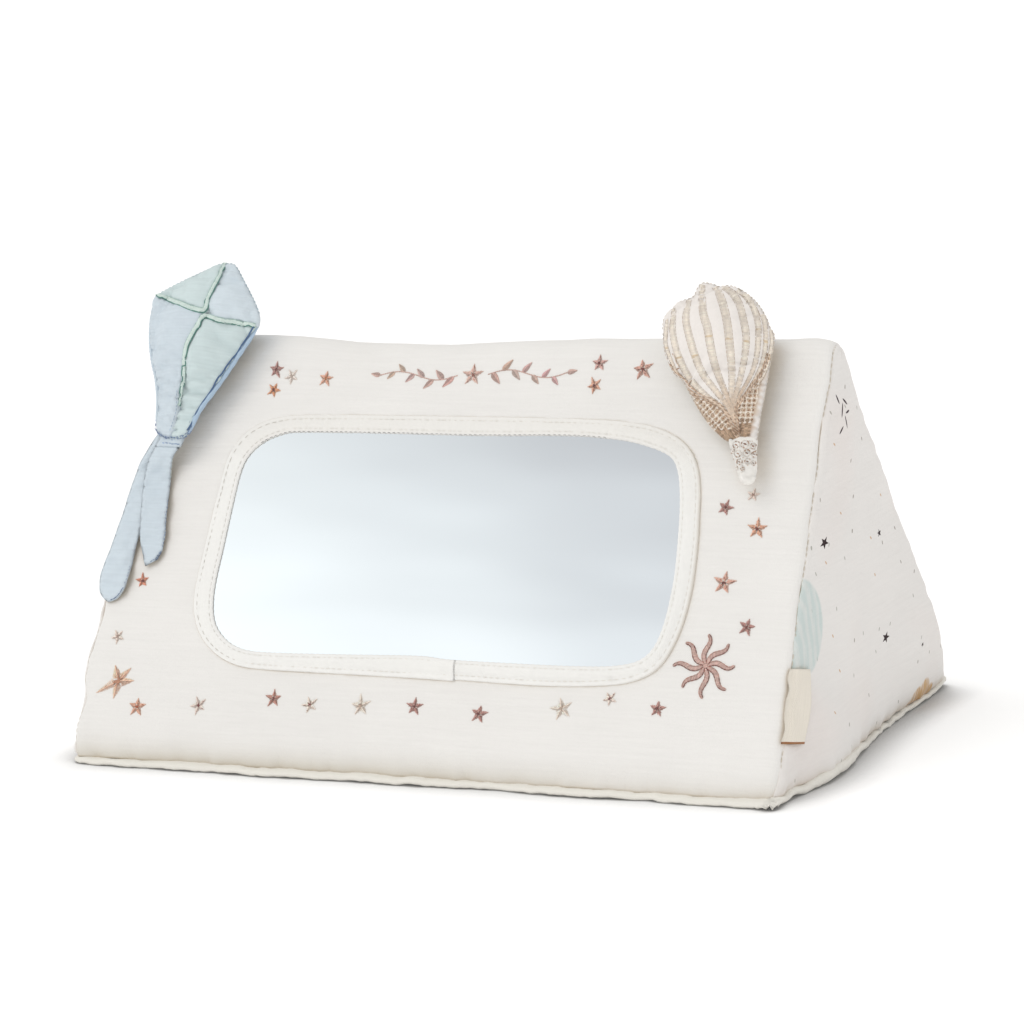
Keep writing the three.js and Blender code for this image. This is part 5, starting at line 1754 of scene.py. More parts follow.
# vertices near a cord are drawn onto it, so that the quarters part cleanly
for line in (spar, spine):
    d_, place_ = line_distance(k_front[:, :2], line[:, :2])
    long_ = np.r_[0, np.cumsum(np.linalg.norm(np.diff(line[:, :2], axis=0), axis=1))]
    near_ = (d_ < 0.85) & (k_d > 0.9)
    for j in (0, 1):
        k_front[near_, j] = np.interp(place_[near_], long_, line[:, j])
mid = k_front[kf].mean(1)
above = mid[:, 1] > np.interp(mid[:, 0], sx_[order], ss_[order])
leftish = mid[:, 0] < np.interp(mid[:, 1], ps_[order2], px_[order2])
for name, mask, material, slot in (
    # the top right quarter takes the lighter, painted-lit copy of the blue cloth
    ("kite_quarter_top_right", above & ~leftish, blue_painted_lit, "blue_fabric"),
    ("kite_quarter_top_left", above & leftish, mint, "mint_fabric"),
    ("kite_quarter_bottom_left", ~above & leftish, blue, "blue_fabric"),
    ("kite_quarter_bottom_right", ~above & ~leftish, mint, "mint_fabric"),
):
    ob = sheet_piece(name, k_front, kf[mask], material, thick=0.55)
    face_out(ob)
    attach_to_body(ob, "kite")
    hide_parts(name.replace("quarter", "panel"))
at_seam = np.isin(kf, k_rim).all(1)
ob = sheet_piece("kite_back_cloth", k_back, kf[~at_seam][:, ::-1], back_blue, thick=0.05 + 0.45 * smooth(k_d / 4))
face_out(ob)
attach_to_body(ob, "kite")
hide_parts("kite_back_cover")
filling("kite_stuffing", "kite_filling", "kite", k_front, k_back, kf, k_rim)

surface = Surface(k_front, kf)
bag = Bag()
threads = Bag()
for points, radius, off in ((K_SPAR + K_TOP[1:], 0.86, 0.0), (K_SPAR2[::-1] + K_LOW[1:9], 0.86, 0.0)):
    line, ups = surface.line(open_spline(points, 150), lift=0.62)
    for _ in range(5):
        line[1:-1] = 0.5 * line[1:-1] + 0.25 * (line[2:] + line[:-2])
    t = np.linspace(0, 1, len(line))
    w = radius * (np.interp(t, [0, 0.1, 0.5, 0.6, 1], [0.8, 1, 1.1, 0.95, 0.7]) if off == 0.0 and points[0] == K_SPAR[0]
                  else np.interp(t, [0, 0.1, 0.45, 0.8, 1], [0.85, 1.1, 1.1, 0.85, 0.5]))
    v, f = cord_tube(to_row(line), w, up=turn_row(ups))
    bag.add(v, f, colour=lin(222, 240, 233))
    # a dark green line on the cord's lower side and a paler one on its other side: painted shadow lines beside the
    # raised cord
    side = np.cross(np.gradient(line, axis=0), ups)
    side /= np.linalg.norm(side, axis=1)[:, None]
    under = np.where(side[:, 1] < 0, 1, -1)
    for away, up_, thick_, rgb_ in ((1.12, -0.05, 0.32, (92, 142, 132)), (-1.08, -0.16, 0.17, (164, 196, 188))):
        low = line + ups * up_ + side * (away * w / w.max() * under)[:, None]
        v, f = spindle(to_row(low), thick_, sides=6, ups=turn_row(ups))
        threads.add(v, f, colour=lin(*rgb_))
    for j in range(3, len(line) - 3, 3):
        a, b = line[j] + ups[j] * 0.0 - side[j] * 0.9 - ups[j] * 0.3, line[j] + side[j] * 0.9 - ups[j] * 0.3
        m_ = line[j] + ups[j] * (w[j] * 0.92)
        v, f = spindle(to_row(np.array([a, (a + m_) / 2 + ups[j] * 0.25, m_, (b + m_) / 2 + ups[j] * 0.25, b])), 0.13, sides=4,
                       ups=turn_row(np.gradient(line, axis=0)[j]))
        threads.add(v, f, colour=tone((222, 242, 234), rng.uniform(0.92, 1.03), rng))
ob = bag.make("kite_cross_cord", piping_mat)
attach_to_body(ob, "kite")
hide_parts("kite_cross_piping")

# seam and edge stitches in blue thread
loop = k_rim
rim3 = k_front[loop]
rim3 = even(np.vstack([rim3, rim3[:1]]), 420, closed=False)
cen = np.array([-136.0, 192.0])
outw = rim3[:, :2] - cen
outw /= np.linalg.norm(outw, axis=1)[:, None]
ups = np.c_[outw * 0.75, np.full(len(outw), 0.66)]
right_low = (rim3[:, 0] > -136) & (rim3[:, 1] < 209)
left_low = (rim3[:, 0] < -149) & (rim3[:, 1] < 205)
bottom = (rim3[:, 1] < 156)
for mask, pitch, long, w, colour in (

    (left_low & ~bottom, 1.9, 1.0, 0.22, (134, 150, 196)),
    (~right_low & ~left_low & ~bottom, 2.1, 1.3, 0.2, (150, 178, 190)),
):
    lift_ = 0.6 if pitch == 1.9 else 0.15
    runs = np.flatnonzero(mask)
    for run in np.split(runs, np.flatnonzero(np.diff(runs) > 1) + 1):
        if len(run) > 4:
            seam_thread(threads, rim3[run], ups[run], pitch, long, w, colour, rng, lift=lift_)
run = np.flatnonzero(bottom)
for k in range(3):
    seam_thread(threads, rim3[run] + np.array([0, 0.3 * k, 0.7 * k - 0.4]), ups[run], 1.5, 1.2, 0.22, (72, 100, 148), rng, lift=0.16,
                wobble=0.16)
# dashes beside the lower right seam
inner, inner_up = surface.line([(x - 1.6, s + 0.7) for x, s in open_spline([(-107.5, 200.5), (-113.2, 190.1), (-122.7, 173.3), (-130.4, 160), (-132.6, 154)], 60)], lift=0.05)
seam_thread(threads, inner, inner_up, 3.1, 1.6, 0.13, (126, 156, 168), rng)
# painted shade: a line of blue dashes down the left edge of the lower right quarter stands in for the shading of a fold
fold, fold_up = surface.line(open_spline([(-143.2, 173.0), (-142.4, 168.0), (-141.6, 163.4), (-142.2, 157.6), (-143.2, 153)], 50), lift=0.0)
seam_thread(threads, fold, fold_up, 1.7, 1.5, 0.15, (140, 168, 196), rng)
# the back cloth rolls out beyond the seam along the lower right edge
run = np.flatnonzero(right_low & (rim3[:, 1] > 151.5) & (rim3[:, 1] < 203.5))
run = np.sort(run)
parts_ = np.split(run, np.flatnonzero(np.diff(run) > 1) + 1)
run = max(parts_, key=len)
roll_line = rim3[run].copy()
o2 = np.c_[outw[run], np.zeros(len(run))]
for _ in range(8):
    roll_line[1:-1] = 0.5 * roll_line[1:-1] + 0.25 * (roll_line[2:] + roll_line[:-2])
t = np.linspace(0, 1, len(run))
thick_ = 1.12 * np.minimum(1, np.minimum(t, 1 - t) * 9 + 0.25) * (1 + 0.08 * np.sin(t * 60))
centre_ = roll_line - o2 * 0.50 + np.array([0, 0, 0.25])
v, f = spindle(to_row(centre_), thick_, sides=14, flat=0.95, ups=turn_row(np.tile([0, 0, 1.0], (len(run), 1))))
ob = make("kite_rolled_back_edge", v, f, back_blue, uv=v[:, [0, 2]] + 4000)
face_out(ob)
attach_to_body(ob, "kite")
seam_line = roll_line - o2 * 1.55 + np.array([0, 0, 1.2])
got = [surface.tree.ray_cast(Vector((float(p[0]), float(p[1]), 60.0)), Vector((0, 0, -1)), 100)[0] for p in seam_line]
seam_line[:, 2] = [max(h.z, p[2] - 1.2) if h is not None else p[2] for h, p in zip(got, seam_line)]
for _ in range(22):
    seam_line[1:-1] = 0.5 * seam_line[1:-1] + 0.25 * (seam_line[2:] + seam_line[:-2])
# the seam's dark blue thread, laid as one continuous line in the groove: partly the real thread, partly a painted
# shadow of the groove
v, f = spindle(to_row(seam_line + o2 * 0.25 + np.array([0, 0, 0.62])), 0.46, sides=6, ups=turn_row(np.tile([0, 0, 1.0], (len(run), 1))))
threads.add(v, f, colour=lin(76, 104, 142))
# the seam stands up in a narrow roll down the left edge
run = np.flatnonzero((rim3[:, 0] < -148.5) & (rim3[:, 1] < 215) & ~bottom)
run = max(np.split(run, np.flatnonzero(np.diff(run) > 1) + 1), key=len)
left_roll = rim3[run].copy()
for _ in range(6):
    left_roll[1:-1] = 0.5 * left_roll[1:-1] + 0.25 * (left_roll[2:] + left_roll[:-2])
t = np.linspace(0, 1, len(run))
v, f = spindle(to_row(left_roll + np.c_[outw[run] * 0.05, np.full(len(run), 0.1)]), 0.62 * np.minimum(1, np.minimum(t, 1 - t) * 12 + 0.3), sides=12,
               flat=0.95, ups=turn_row(np.tile([0, 0, 1.0], (len(run), 1))))
ob = make("kite_left_edge_roll", v, f, blue, uv=v[:, [0, 2]] + 4200)
face_out(ob)
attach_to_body(ob, "kite")
ob = threads.make("kite_seam_threads", embroidery)
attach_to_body(ob, "kite")


# ------------------------------------------------------------------ the kite's ribbon tails
ROOT = tuple(panel(-147.0, 154.5, 12.0) * MM), tuple(panel(-148.5, 146.0, 10.4) * MM)


def attach(ob, body, bends):
    """Rides on a body, or, where bends is set, is left without a parent, its transform baked in."""
    if bends:
        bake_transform(ob)
    else:
        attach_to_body(ob, body)


def ribbon(name, node, body, edge_a, edge_b, extra, seed, bends=False):
    """A two-layer ribbon between two measured edges, from the kite's seam down to a rounded tip."""
    a = open_spline(edge_a, 70)
    b = open_spline(edge_b, 70)
    outline = turned(even(np.vstack([a, b[::-1][1:]]), 230, closed=True))
    outline = relax(outline, 1)
    v, f = flat_mesh(outline, 1.5)
    d = line_distance(v, outline, closed=True)[0]
    # from the photographed plane to where the ribbon lies
    rise = 7.3 * smooth((v[:, 1] - 130) / 20)
    n = 2.6 + rise + extra * smooth((v[:, 1] - 92) / 22)
    wave = Noise(61, 9, 26)
    n = n + 0.55 * wave(v[:, 0] * 0.5 + v[:, 1] * 0.25, v[:, 1] * 1.2)
    crease = Noise(66, 4.0, 9.0)
    n = n + 0.30 * crease(v[:, 0] * 0.8 - v[:, 1] * 0.3, v[:, 1] * 1.1)
    x = v[:, 0] + (n - 3) * 0.5228
    s = v[:, 1] - (n - 3) * 0.2816
    edge = 1 - np.exp(-d / 0.8)
    cover = front_height(np.clip(x, -168, 168), np.clip(s, 5, 190)) - 1.5 * smooth((-x - 166) / 5)
    n = np.maximum(n, cover + 0.95 + extra * 0.75)
    top = np.c_[x, s, n + 0.15 + 0.42 * edge]
    low = np.c_[x, s, n - 0.15 - 0.30 * edge]
    rim = rim_of(f)
    is_rim = np.zeros(len(v), bool)
    is_rim[rim] = True
    count = len(v)
    index = np.arange(count)
    index[~is_rim] = np.arange(count, count + (~is_rim).sum())
    top[rim, 2] = n[rim]
    pts = np.vstack([top, low[~is_rim]])
    uv = np.vstack([v, v[~is_rim] + 40]) + 3000 + seed
    tris = [tuple(map(int, t)) for t in f] + [tuple(int(index[i]) for i in t[::-1]) for t in f]
    ob = make(name, to_row(pts), tris, blue, uv=uv)
    face_out(ob)
    attach(ob, body, bends)
    if node:
        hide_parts(node)
    return Surface(top, f), np.c_[x, s, n][rim], rim, v[rim]


SHORT_L = [(-157.2, 139.5), (-157.8, 133.6), (-157, 122.1), (-155.9, 112.9), (-154.5, 104.9), (-151.6, 97.5), (-148.1, 91.2)]
SHORT_R = [(-138.8, 155.5), (-139.9, 149.6), (-143.5, 144.3), (-143.9, 138.5), (-143.3, 130.4), (-142.8, 122.4), (-142.2, 113.3), (-141, 104.2),
           (-141.3, 99), (-143.9, 93.8), (-148.1, 91.2)]
LONG_L = [(-152.6, 157), (-155.9, 151), (-158.4, 146.3), (-161.6, 139.3), (-163.8, 131.1), (-165.6, 120.7), (-167.4, 110.3), (-169.6, 98.7),
          (-171.6, 90.6), (-172.1, 84.9), (-170.4, 78.0), (-165.6, 74.2)]
LONG_R = [(-142, 156.5), (-146, 150.5), (-149.0, 141), (-151.6, 130), (-153.6, 118), (-155.0, 108), (-155.8, 100.5), (-156.1, 93.4), (-156.8, 86.6),
          (-158.0, 80.4), (-161.1, 75.9), (-165.6, 74.2)]
long_s, long_rim, _, long_flat = ribbon("kite_long_ribbon", "kite_tail_long", "tail_long", LONG_L, LONG_R, 0.0,
                                        61, bends=True)
short_s, short_rim, _, short_flat = ribbon("kite_short_ribbon", "kite_tail_short", "tail_short", [(-154.3, 148.4)] + SHORT_L,
                                           [(-140.9, 148.4)] + SHORT_R[2:], 1.5,
                                           67)
# its root, between the kite's seam and the fold that it hangs from
root_s, _, _, _ = ribbon("kite_short_ribbon_root", None, "kite", [(-150.6, 157.0), (-152.5, 152.5), (-154.6, 147.5)],
                         [(-138.8, 155.5), (-139.9, 149.6), (-141.5, 147.5)], 1.3,
                         71, bends=True)


def ribbon_threads(name, body, surf, marks, bends=False):
    bag = Bag()
    g = np.random.default_rng(8)
    for points, pitch, long, w, colour, wob in marks:
        line, ups = surf.line(open_spline(points, 60), n0=3.0, lift=0.06)
        seam_thread(bag, line, ups, pitch, long, w, colour, g, wobble=wob)
    ob = bag.make(name, embroidery)
    attach(ob, body, bends)


ribbon_threads("short_ribbon_threads", "tail_short", short_s, [
    ([(-142.0, 128), (-142.0, 118), (-141.6, 108), (-141.6, 100.5)], 1.7, 0.8, 0.16, (104, 134, 176), 0.04),
    ([(-141.9, 99.5), (-143.6, 95.2), (-146.6, 92.6)], 1.2, 1.2, 0.26, (70, 92, 128), 0.12),
    ([(-142.4, 99.0), (-144.2, 95.9), (-147.2, 93.6)], 1.4, 1.2, 0.22, (92, 116, 150), 0.12),
    # painted shade: a grey-green line of stitches along the short tail's upper right edge stands in for the shadow of
    # its turned edge
    ([(-144.2, 142.8), (-144.2, 138), (-143.6, 133)], 1.6, 1.1, 0.2, (150, 156, 150), 0.05),
])
ribbon_threads("ribbon_root_threads", "kite", root_s, [
    ([(-152.0, 150.6), (-147, 149.9), (-141.8, 150.2)], 1.6, 1.5, 0.24, (108, 140, 186), 0.15),
], bends=True)
ribbon_threads("long_ribbon_threads", "tail_long", long_s, [
    ([(-158.4, 82.0), (-161.0, 77.6), (-164.8, 75.2)], 1.2, 1.3, 0.26, (78, 104, 144), 0.1),
    ([(-157.2, 92), (-157.8, 86), (-158.8, 82.4)], 1.7, 0.9, 0.16, (120, 146, 178), 0.04),
])

# ------------------------------------------------------------------ the balloon
BALLOON = [(111.8, 223.4), (116.2, 222.4), (118.6, 221.6), (122.4, 222.1), (127.8, 220.6), (133.3, 217.2), (138.0, 213.0), (142.4, 207),
           (144.2, 203.4), (146.8, 199.6), (146.9, 193.9), (146.6, 186.5), (146.2, 175.9), (145.6, 163.6), (145.4, 156.5), (144.8, 152.4),
           (139.6, 151.2), (134.2, 152.4), (130.6, 153.6), (124.0, 158.8), (117.2, 166.2), (111.4, 174.2), (107.4, 179.6), (103.1, 182.6),
           (98.3, 190.1), (95.9, 197.5), (94.6, 206.9), (98.0, 211.9), (100.8, 214.8), (105, 216.2), (107.2, 217.6), (108.2, 220.8), (109.4, 222.8)]
ball_line = turned(closed_spline(BALLOON, 190))
bv, bf, b_rim, b_front, b_back = stuffed("balloon", ball_line, 1.7, 25.0, 2.4, 0.05, 5.0)
b_d = line_distance(bv, ball_line, closed=True)[0]
taper = smooth((176 - b_front[:, 1]) / 26)
b_front[:, 2] = 12 + (b_front[:, 2] - 12) * (1 - 0.15 * taper)
STRIPES = {
    "A": [(96.2, 207), (96.9, 197.4), (99.4, 191.0), (104.0, 183.6), (107.6, 180.6)],
    "B": [(98.7, 211.8), (98.9, 208.8), (99.4, 202.4), (102.1, 194.1), (106.1, 186.8), (111.4, 179.6), (120, 172.4), (127.2, 167.9), (132.9, 160.8)],
    "C": [(105.2, 216.6), (104.9, 212.3), (104.9, 207), (107.5, 199.6), (111.7, 190.5), (116.6, 182.3), (123.4, 175.1), (130, 168), (134.3, 160.8)],
    "D": [(110.2, 223.2), (110.9, 217.5), (112.6, 209.7), (115.4, 203.3), (118.1, 195.1), (121.2, 186.9), (124.4, 180.6), (129.5, 171.6), (134.3, 162.6)],
    "E": [(114.9, 222.9), (118.7, 218.4), (122.4, 210.7), (124.9, 203.3), (126.5, 197), (128.3, 189.7), (129.8, 182.4), (130.8, 175.2), (132.1, 168), (135.6, 158.2)],
    "F": [(119.2, 222.0), (124.9, 218.4), (129, 213.0), (132.1, 205.2), (134, 198.8), (134.5, 191.5), (134.2, 184.3), (133.4, 177), (132.7, 169.8), (135.4, 159.9)],
    "G": [(123.4, 222.0), (130.0, 218.4), (135.2, 212.6), (138.1, 206.1), (139.2, 201.5), (139.9, 193.4), (139.5, 186.1), (137.6, 179.8), (134.8, 173.4), (133.7, 168)],
    "H": [(131.0, 219.2), (137.6, 212.8), (141.3, 206.1), (142.4, 201.6), (143.3, 195.2), (143, 188), (141.1, 181.6), (138.3, 175.3), (135.3, 169.8), (134.2, 166.2)],
    "I": [(144.6, 202.5), (145.9, 197), (145.8, 190.7), (144.9, 184.4), (143.2, 179.8), (139.8, 174.4)],
}
ENV_L = [(95.7, 192.3), (98.3, 187.7), (102.9, 182.2), (107.1, 179.5), (110.5, 175.9), (116.2, 172.3), (121.2, 170.6), (126.3, 167.5), (129.6, 164.4), (133, 159.9), (137.4, 153.7)]
ENV_R = [(145.9, 193.4), (145, 189.8), (143.5, 184.4), (140.5, 178.9), (137.9, 174.4), (135.7, 170.7), (133.9, 167.1), (135.2, 160.8), (137.4, 153.7)]
SKIRT_R = [(146.4, 190.7), (145.3, 184.4), (143.9, 179), (143.2, 170.9), (142.6, 162.8), (142.1, 154.7), (141.9, 149.6)]
SIL_L = [(94.8, 197.5), (97.3, 189.9), (102.4, 182.1), (106.7, 179.3), (110.8, 173.7), (116.6, 165.7), (123.4, 158.3), (130, 152.8), (134.9, 149.8)]
smooth_front = Surface(b_front, bf)
stripe3 = {k: smooth_front.line(open_spline(p, 90)) for k, p in STRIPES.items()}
env3 = [smooth_front.line(open_spline(p, 90)) for p in (ENV_L, ENV_R)]
# gores stand up between the stripes; the borders are drawn in
near = np.full(len(b_front), 99.0)
for line, _ in stripe3.values():
    near = np.minimum(near, line_distance(b_front[:, :2], line[:, :2])[0])
b_front[:, 2] += (0.9 * smooth(near / 2.6) - 0.45) * smooth(b_d / 3.5)
near_env = np.minimum(line_distance(b_front[:, :2], env3[0][0][:, :2])[0], line_distance(b_front[:, :2], env3[1][0][:, :2])[0])
b_front[:, 2] -= 1.3 * np.exp(-((near_env / 2.0) ** 2)) * smooth(b_d / 3)
fold3, _ = smooth_front.line(open_spline([(124.5, 181), (129.2, 173.5), (133.2, 166.0), (135.6, 159.5), (137.6, 153.4)], 60))
dd = line_distance(b_front[:, :2], fold3[:, :2])[0]
b_front[:, 2] -= 1.2 * np.exp(-((dd / 1.7) ** 2)) * smooth(b_d / 2)
b_front[:, 2] += 0.12 * n_fine(b_front[:, 0], b_front[:, 1]) * smooth(b_d / 3)
b_back = clear_of_cover(b_back)

# the cover's ground colour: cream above, brownish net ground below the borders
shift_x = b_front[:, 0] - (b_front[:, 2] - 12) * 0.5228
shift_s = b_front[:, 1] + (b_front[:, 2] - 12) * 0.2816
seen_xy = np.stack([shift_x, shift_s], 1)
left_net = [*ENV_L, (134.9, 146.0), (128, 146), (90, 176), (90, 192.3)]
right_net = [*ENV_R, (137.8, 149.8), *SKIRT_R[::-1]]
def soft_in(loop, w):
    return smooth(0.5 - signed(seen_xy, closed_or(loop)) / w)
def closed_or(loop):
    return np.array(loop, float)
in_l, in_r = soft_in(left_net, 1.2), soft_in(right_net, 1.2)
low_l = smooth((161.5 - seen_xy[:, 1]) / 5)
low_r = smooth((163.5 - seen_xy[:, 1]) / 5)
creamy = np.array(lin(239, 234, 230))
tan = np.array(lin(206, 184, 162))
tan2 = np.array(lin(196, 168, 142))
b_col = np.tile(creamy, (len(seen_xy), 1))
for k_, low_ in ((in_l, low_l), (in_r, low_r)):
    ground = tan * (1 - low_[:, None]) + tan2 * low_[:, None]
    b_col = b_col * (1 - k_[:, None]) + ground * k_[:, None]
ball_shade = Shade("balloon_cotton", rough=0.9, spec=0.15, sheen=0.08)
uv_n = ball_shade.uv()
grain = ball_shade.noise(ball_shade.scaled(uv_n, (0.8, 0.8, 1)), 1.0, 3.0, 0.6, "2D")
ball_shade.colour(ball_shade.mix(grain, ball_shade.mix(1.0, ball_shade.tint(), (0.94, 0.93, 0.92), "MULTIPLY"), ball_shade.tint()))
soft_n = ball_shade.noise(ball_shade.scaled(uv_n, (0.25, 0.35, 1)), 1.0, 3.0, 0.6, "2D")
ball_shade.normal(ball_shade.bump(ball_shade.weave(uv_n, 0.45), 0.00006, 1.0, ball_shade.bump(soft_n, 0.0004)))
ob = sheet_piece("balloon_front_cloth", b_front, bf, ball_shade.mat, thick=0.55, colour=b_col)
face_out(ob)
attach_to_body(ob, "balloon")
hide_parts("balloon_front_cover")
at_seam = np.isin(bf, b_rim).all(1)
ob = sheet_piece("balloon_back_cloth", b_back, bf[~at_seam][:, ::-1], cream, thick=0.05 + 0.45 * smooth(b_d / 4))
face_out(ob)
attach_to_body(ob, "balloon")
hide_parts("balloon_back_cover")
filling("balloon_stuffing", "balloon_filling", "balloon", b_front, b_back, bf, b_rim)

b_surface = Surface(b_front, bf)
bag = Bag()
g = np.random.default_rng(17)


def panel_stitch(bag, a, b, w, rgb, rise=0.2, surf=None, steps=4, n0=12.0, base=0.0):
    """A thread between two photographed places on a toy."""
    t = np.linspace(0, 1, steps)
    pts, ups = surf.line([(a[0] + (b[0] - a[0]) * u, a[1] + (b[1] - a[1]) * u) for u in t], n0=n0)
    if np.linalg.norm(np.diff(pts, axis=0), axis=1).max() > 4:
        return
    pts = pts + ups * (base + rise * np.sin(np.pi * (t * 0.9 + 0.05)) - 0.05)[:, None]
    v, f = spindle(to_row(pts), w * np.array([0.6] + [1.0] * (steps - 2) + [0.6]), sides=6, flat=0.5, ups=turn_row(ups))
    bag.add(v, f, colour=lin(*[min(255, c) for c in rgb]))


WIDE = {"A": 0.7, "B": 1.35, "C": 1.5, "D": 1.6, "E": 1.65, "F": 1.45, "G": 1.2, "H": 0.95, "I": 0.7}
for key, pts in STRIPES.items():
    line = open_spline(pts, 150)
    t = np.linspace(0, 1, 150)
    tang = np.gradient(line, axis=0)
    tang /= np.linalg.norm(tang, axis=1)[:, None]
    nn = np.stack([-tang[:, 1], tang[:, 0]], 1)
    wide = WIDE[key] * np.interp(t, [0, 0.12, 0.45, 0.75, 1], [0.6, 0.95, 1.0, 0.72, 0.4])
    long = np.r_[0, np.cumsum(np.linalg.norm(np.diff(line, axis=0), axis=1))]
    place = 0.3
    gap_at = [(0.36 + 0.1 * g.random()) * long[-1]]
    while place < long[-1]:
        j = np.interp(place, long, np.arange(150))
        i = int(j)
        w = wide[i]
        u = t[i]
        low = smooth((u - 0.6) / 0.35)
        edge_ = g.uniform(-0.12, 0.12)
        rgb = np.array([251, 242, 229]) * (1 - low) + np.array([232, 212, 192]) * low
        if abs(place - gap_at[0]) < 0.5:
            rgb = np.array([232, 213, 184])
        rgb = rgb * g.uniform(0.955, 1.035)
        lean = 0.22 * w
        p0 = line[i] - nn[i] * (w + edge_) - tang[i] * lean
        p1 = line[i] + nn[i] * (w - edge_) + tang[i] * lean
        panel_stitch(bag, p0, p1, 0.21, rgb, rise=0.34, surf=b_surface)
        place += 0.36
    # a finer line of stitches along each side
    for side in (-1, 1):
        e = line + nn * (side * (wide + 0.12))[:, None]
        for i in range(2, 146, 4):
            panel_stitch(bag, e[i], e[min(i + 4, 149)], 0.12, np.array([192, 174, 154]) * g.uniform(0.9, 1.06), rise=0.14, surf=b_surface, steps=3)

# borders: two twisted lines, and another just above on the left
for pts, offs in ((ENV_L, (-0.9, 0.25, 1.3)), (ENV_R, (-0.6, 0.6))):
    line = open_spline(pts, 100)
    tang = np.gradient(line, axis=0)
    tang /= np.linalg.norm(tang, axis=1)[:, None]
    nn = np.stack([-tang[:, 1], tang[:, 0]], 1)
    for o in offs:
        q = line + nn * o
        for i in range({-0.9: 16, 1.3: 12}.get(o, 4), 97, 2):
            c = np.array([230, 208, 186]) if (i // 2) % 2 else np.array([190, 160, 136])
            panel_stitch(bag, q[i] - nn[i] * 0.25, q[i + 3 if i + 3 < 100 else 99] + nn[i] * 0.25, 0.27, c * g.uniform(0.92, 1.06),
                         rise=0.35, surf=b_surface, base=0.1)
# the fold down to the point
line = open_spline([(124.5, 181), (129.2, 173.5), (133.2, 166.0), (135.6, 159.5), (137.6, 153.4)], 70)
for i in range(0, 66, 3):
    panel_stitch(bag, line[i], line[min(i + 4, 69)], 0.24, np.array([222, 206, 188]) * g.uniform(0.95, 1.03), rise=0.2, surf=b_surface, base=0.15)


def net(loop, angle, cell, low_s):
    """Knotted net: two families of threads and pale knots where they meet, with brown dots in the cells, above low_s.
    """
    loop = np.array(loop, float)
    lo, hi = loop.min(0), loop.max(0)
    c, q = math.cos(angle), math.sin(angle)
    centre = (lo + hi) / 2
    reach_ = np.linalg.norm(hi - lo) / 2 + 2
    k = np.arange(-reach_, reach_, cell)
    for turn_ in (0, 1):
        for o in k:
            for a in np.arange(-reach_, reach_, cell / 2):
                p = np.array([[a, o], [a + cell / 2, o]]) if turn_ == 0 else np.array([[o, a], [o, a + cell / 2]])
                p = p + 0.34 * np.sin(p[:, ::-1] * 2.2 + 0.6 * p) + 0.16 * np.sin(p * 5.1)
                p = np.stack([p[:, 0] * c - p[:, 1] * q, p[:, 0] * q + p[:, 1] * c], 1) + centre
                if (signed(p, loop) < -0.25).all() and p[:, 1].min() > low_s:
                    panel_stitch(bag, p[0], p[1], 0.27, np.array([246, 235, 221]) * g.uniform(0.94, 1.03), rise=0.2, surf=b_surface, base=0.18,
                                 steps=3)
    for a in k:
        for o in k:
            p = np.array([a * c - o * q, a * q + o * c]) + centre
            if signed(p[None], loop)[0] < -0.4 and p[1] > low_s:
                panel_stitch(bag, p - [0.45, 0.2], p + [0.45, 0.2], 0.42, np.array([252, 243, 233]) * g.uniform(0.96, 1.01), rise=0.25,
                             surf=b_surface, base=0.3, steps=3)
            p = p + np.array([cell / 2 * (c - q), cell / 2 * (q + c)])
            if signed(p[None], loop)[0] < -0.5 and p[1] > low_s:
                panel_stitch(bag, p - [0.3, 0.3], p + [0.3, 0.3], 0.36, np.array([150, 112, 86]) * g.uniform(0.85, 1.15), rise=0.1,
                             surf=b_surface, base=-0.02, steps=3)


LEFT_NET = ENV_L + [(134.9, 150.4), (130, 153.4), (123.8, 159), (117.2, 166.4), (111.4, 174.4), (107.0, 179.6)]
net(LEFT_NET, rad(-42), 2.15, 158.0)
net(right_net, rad(2), 2.1, 161.0)
# close rows of brown satin at both feet
for loop, top_s, lean in ((LEFT_NET, 160.5, rad(-52)), (right_net, 163.5, rad(0))):
    loop = np.array(loop, float)
    c, q = math.cos(lean), math.sin(lean)
    for a in np.arange(-16, 16, 0.5):
        for b in np.arange(-18, 18, 1.5):
            p0 = np.array([139.0, 156.0]) + np.array([b * c - a * q, b * q + a * c])
            p1 = p0 + 1.45 * np.array([c, q])
            if (signed(np.array([p0, p1]), loop) < -0.15).all() and max(p0[1], p1[1]) < top_s and min(p0[1], p1[1]) > 151.5:
                panel_stitch(bag, p0, p1, 0.23, np.array([208, 180, 154]) * g.uniform(0.72, 1.10), rise=0.26, surf=b_surface, steps=3)
# small seam stitches along the silhouette
rim3 = b_front[b_rim]
rim3 = even(np.vstack([rim3, rim3[:1]]), 420, closed=False)
outw = rim3[:, :2] - np.array([124.0, 190.0])
outw /= np.linalg.norm(outw, axis=1)[:, None]
seam_thread(bag, rim3, np.c_[outw * 0.75, np.full(len(outw), 0.66)], 1.9, 1.3, 0.22, (214, 202, 186), g, lift=0.1)
ob = bag.make("balloon_embroidery", embroidery)
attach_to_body(ob, "balloon")

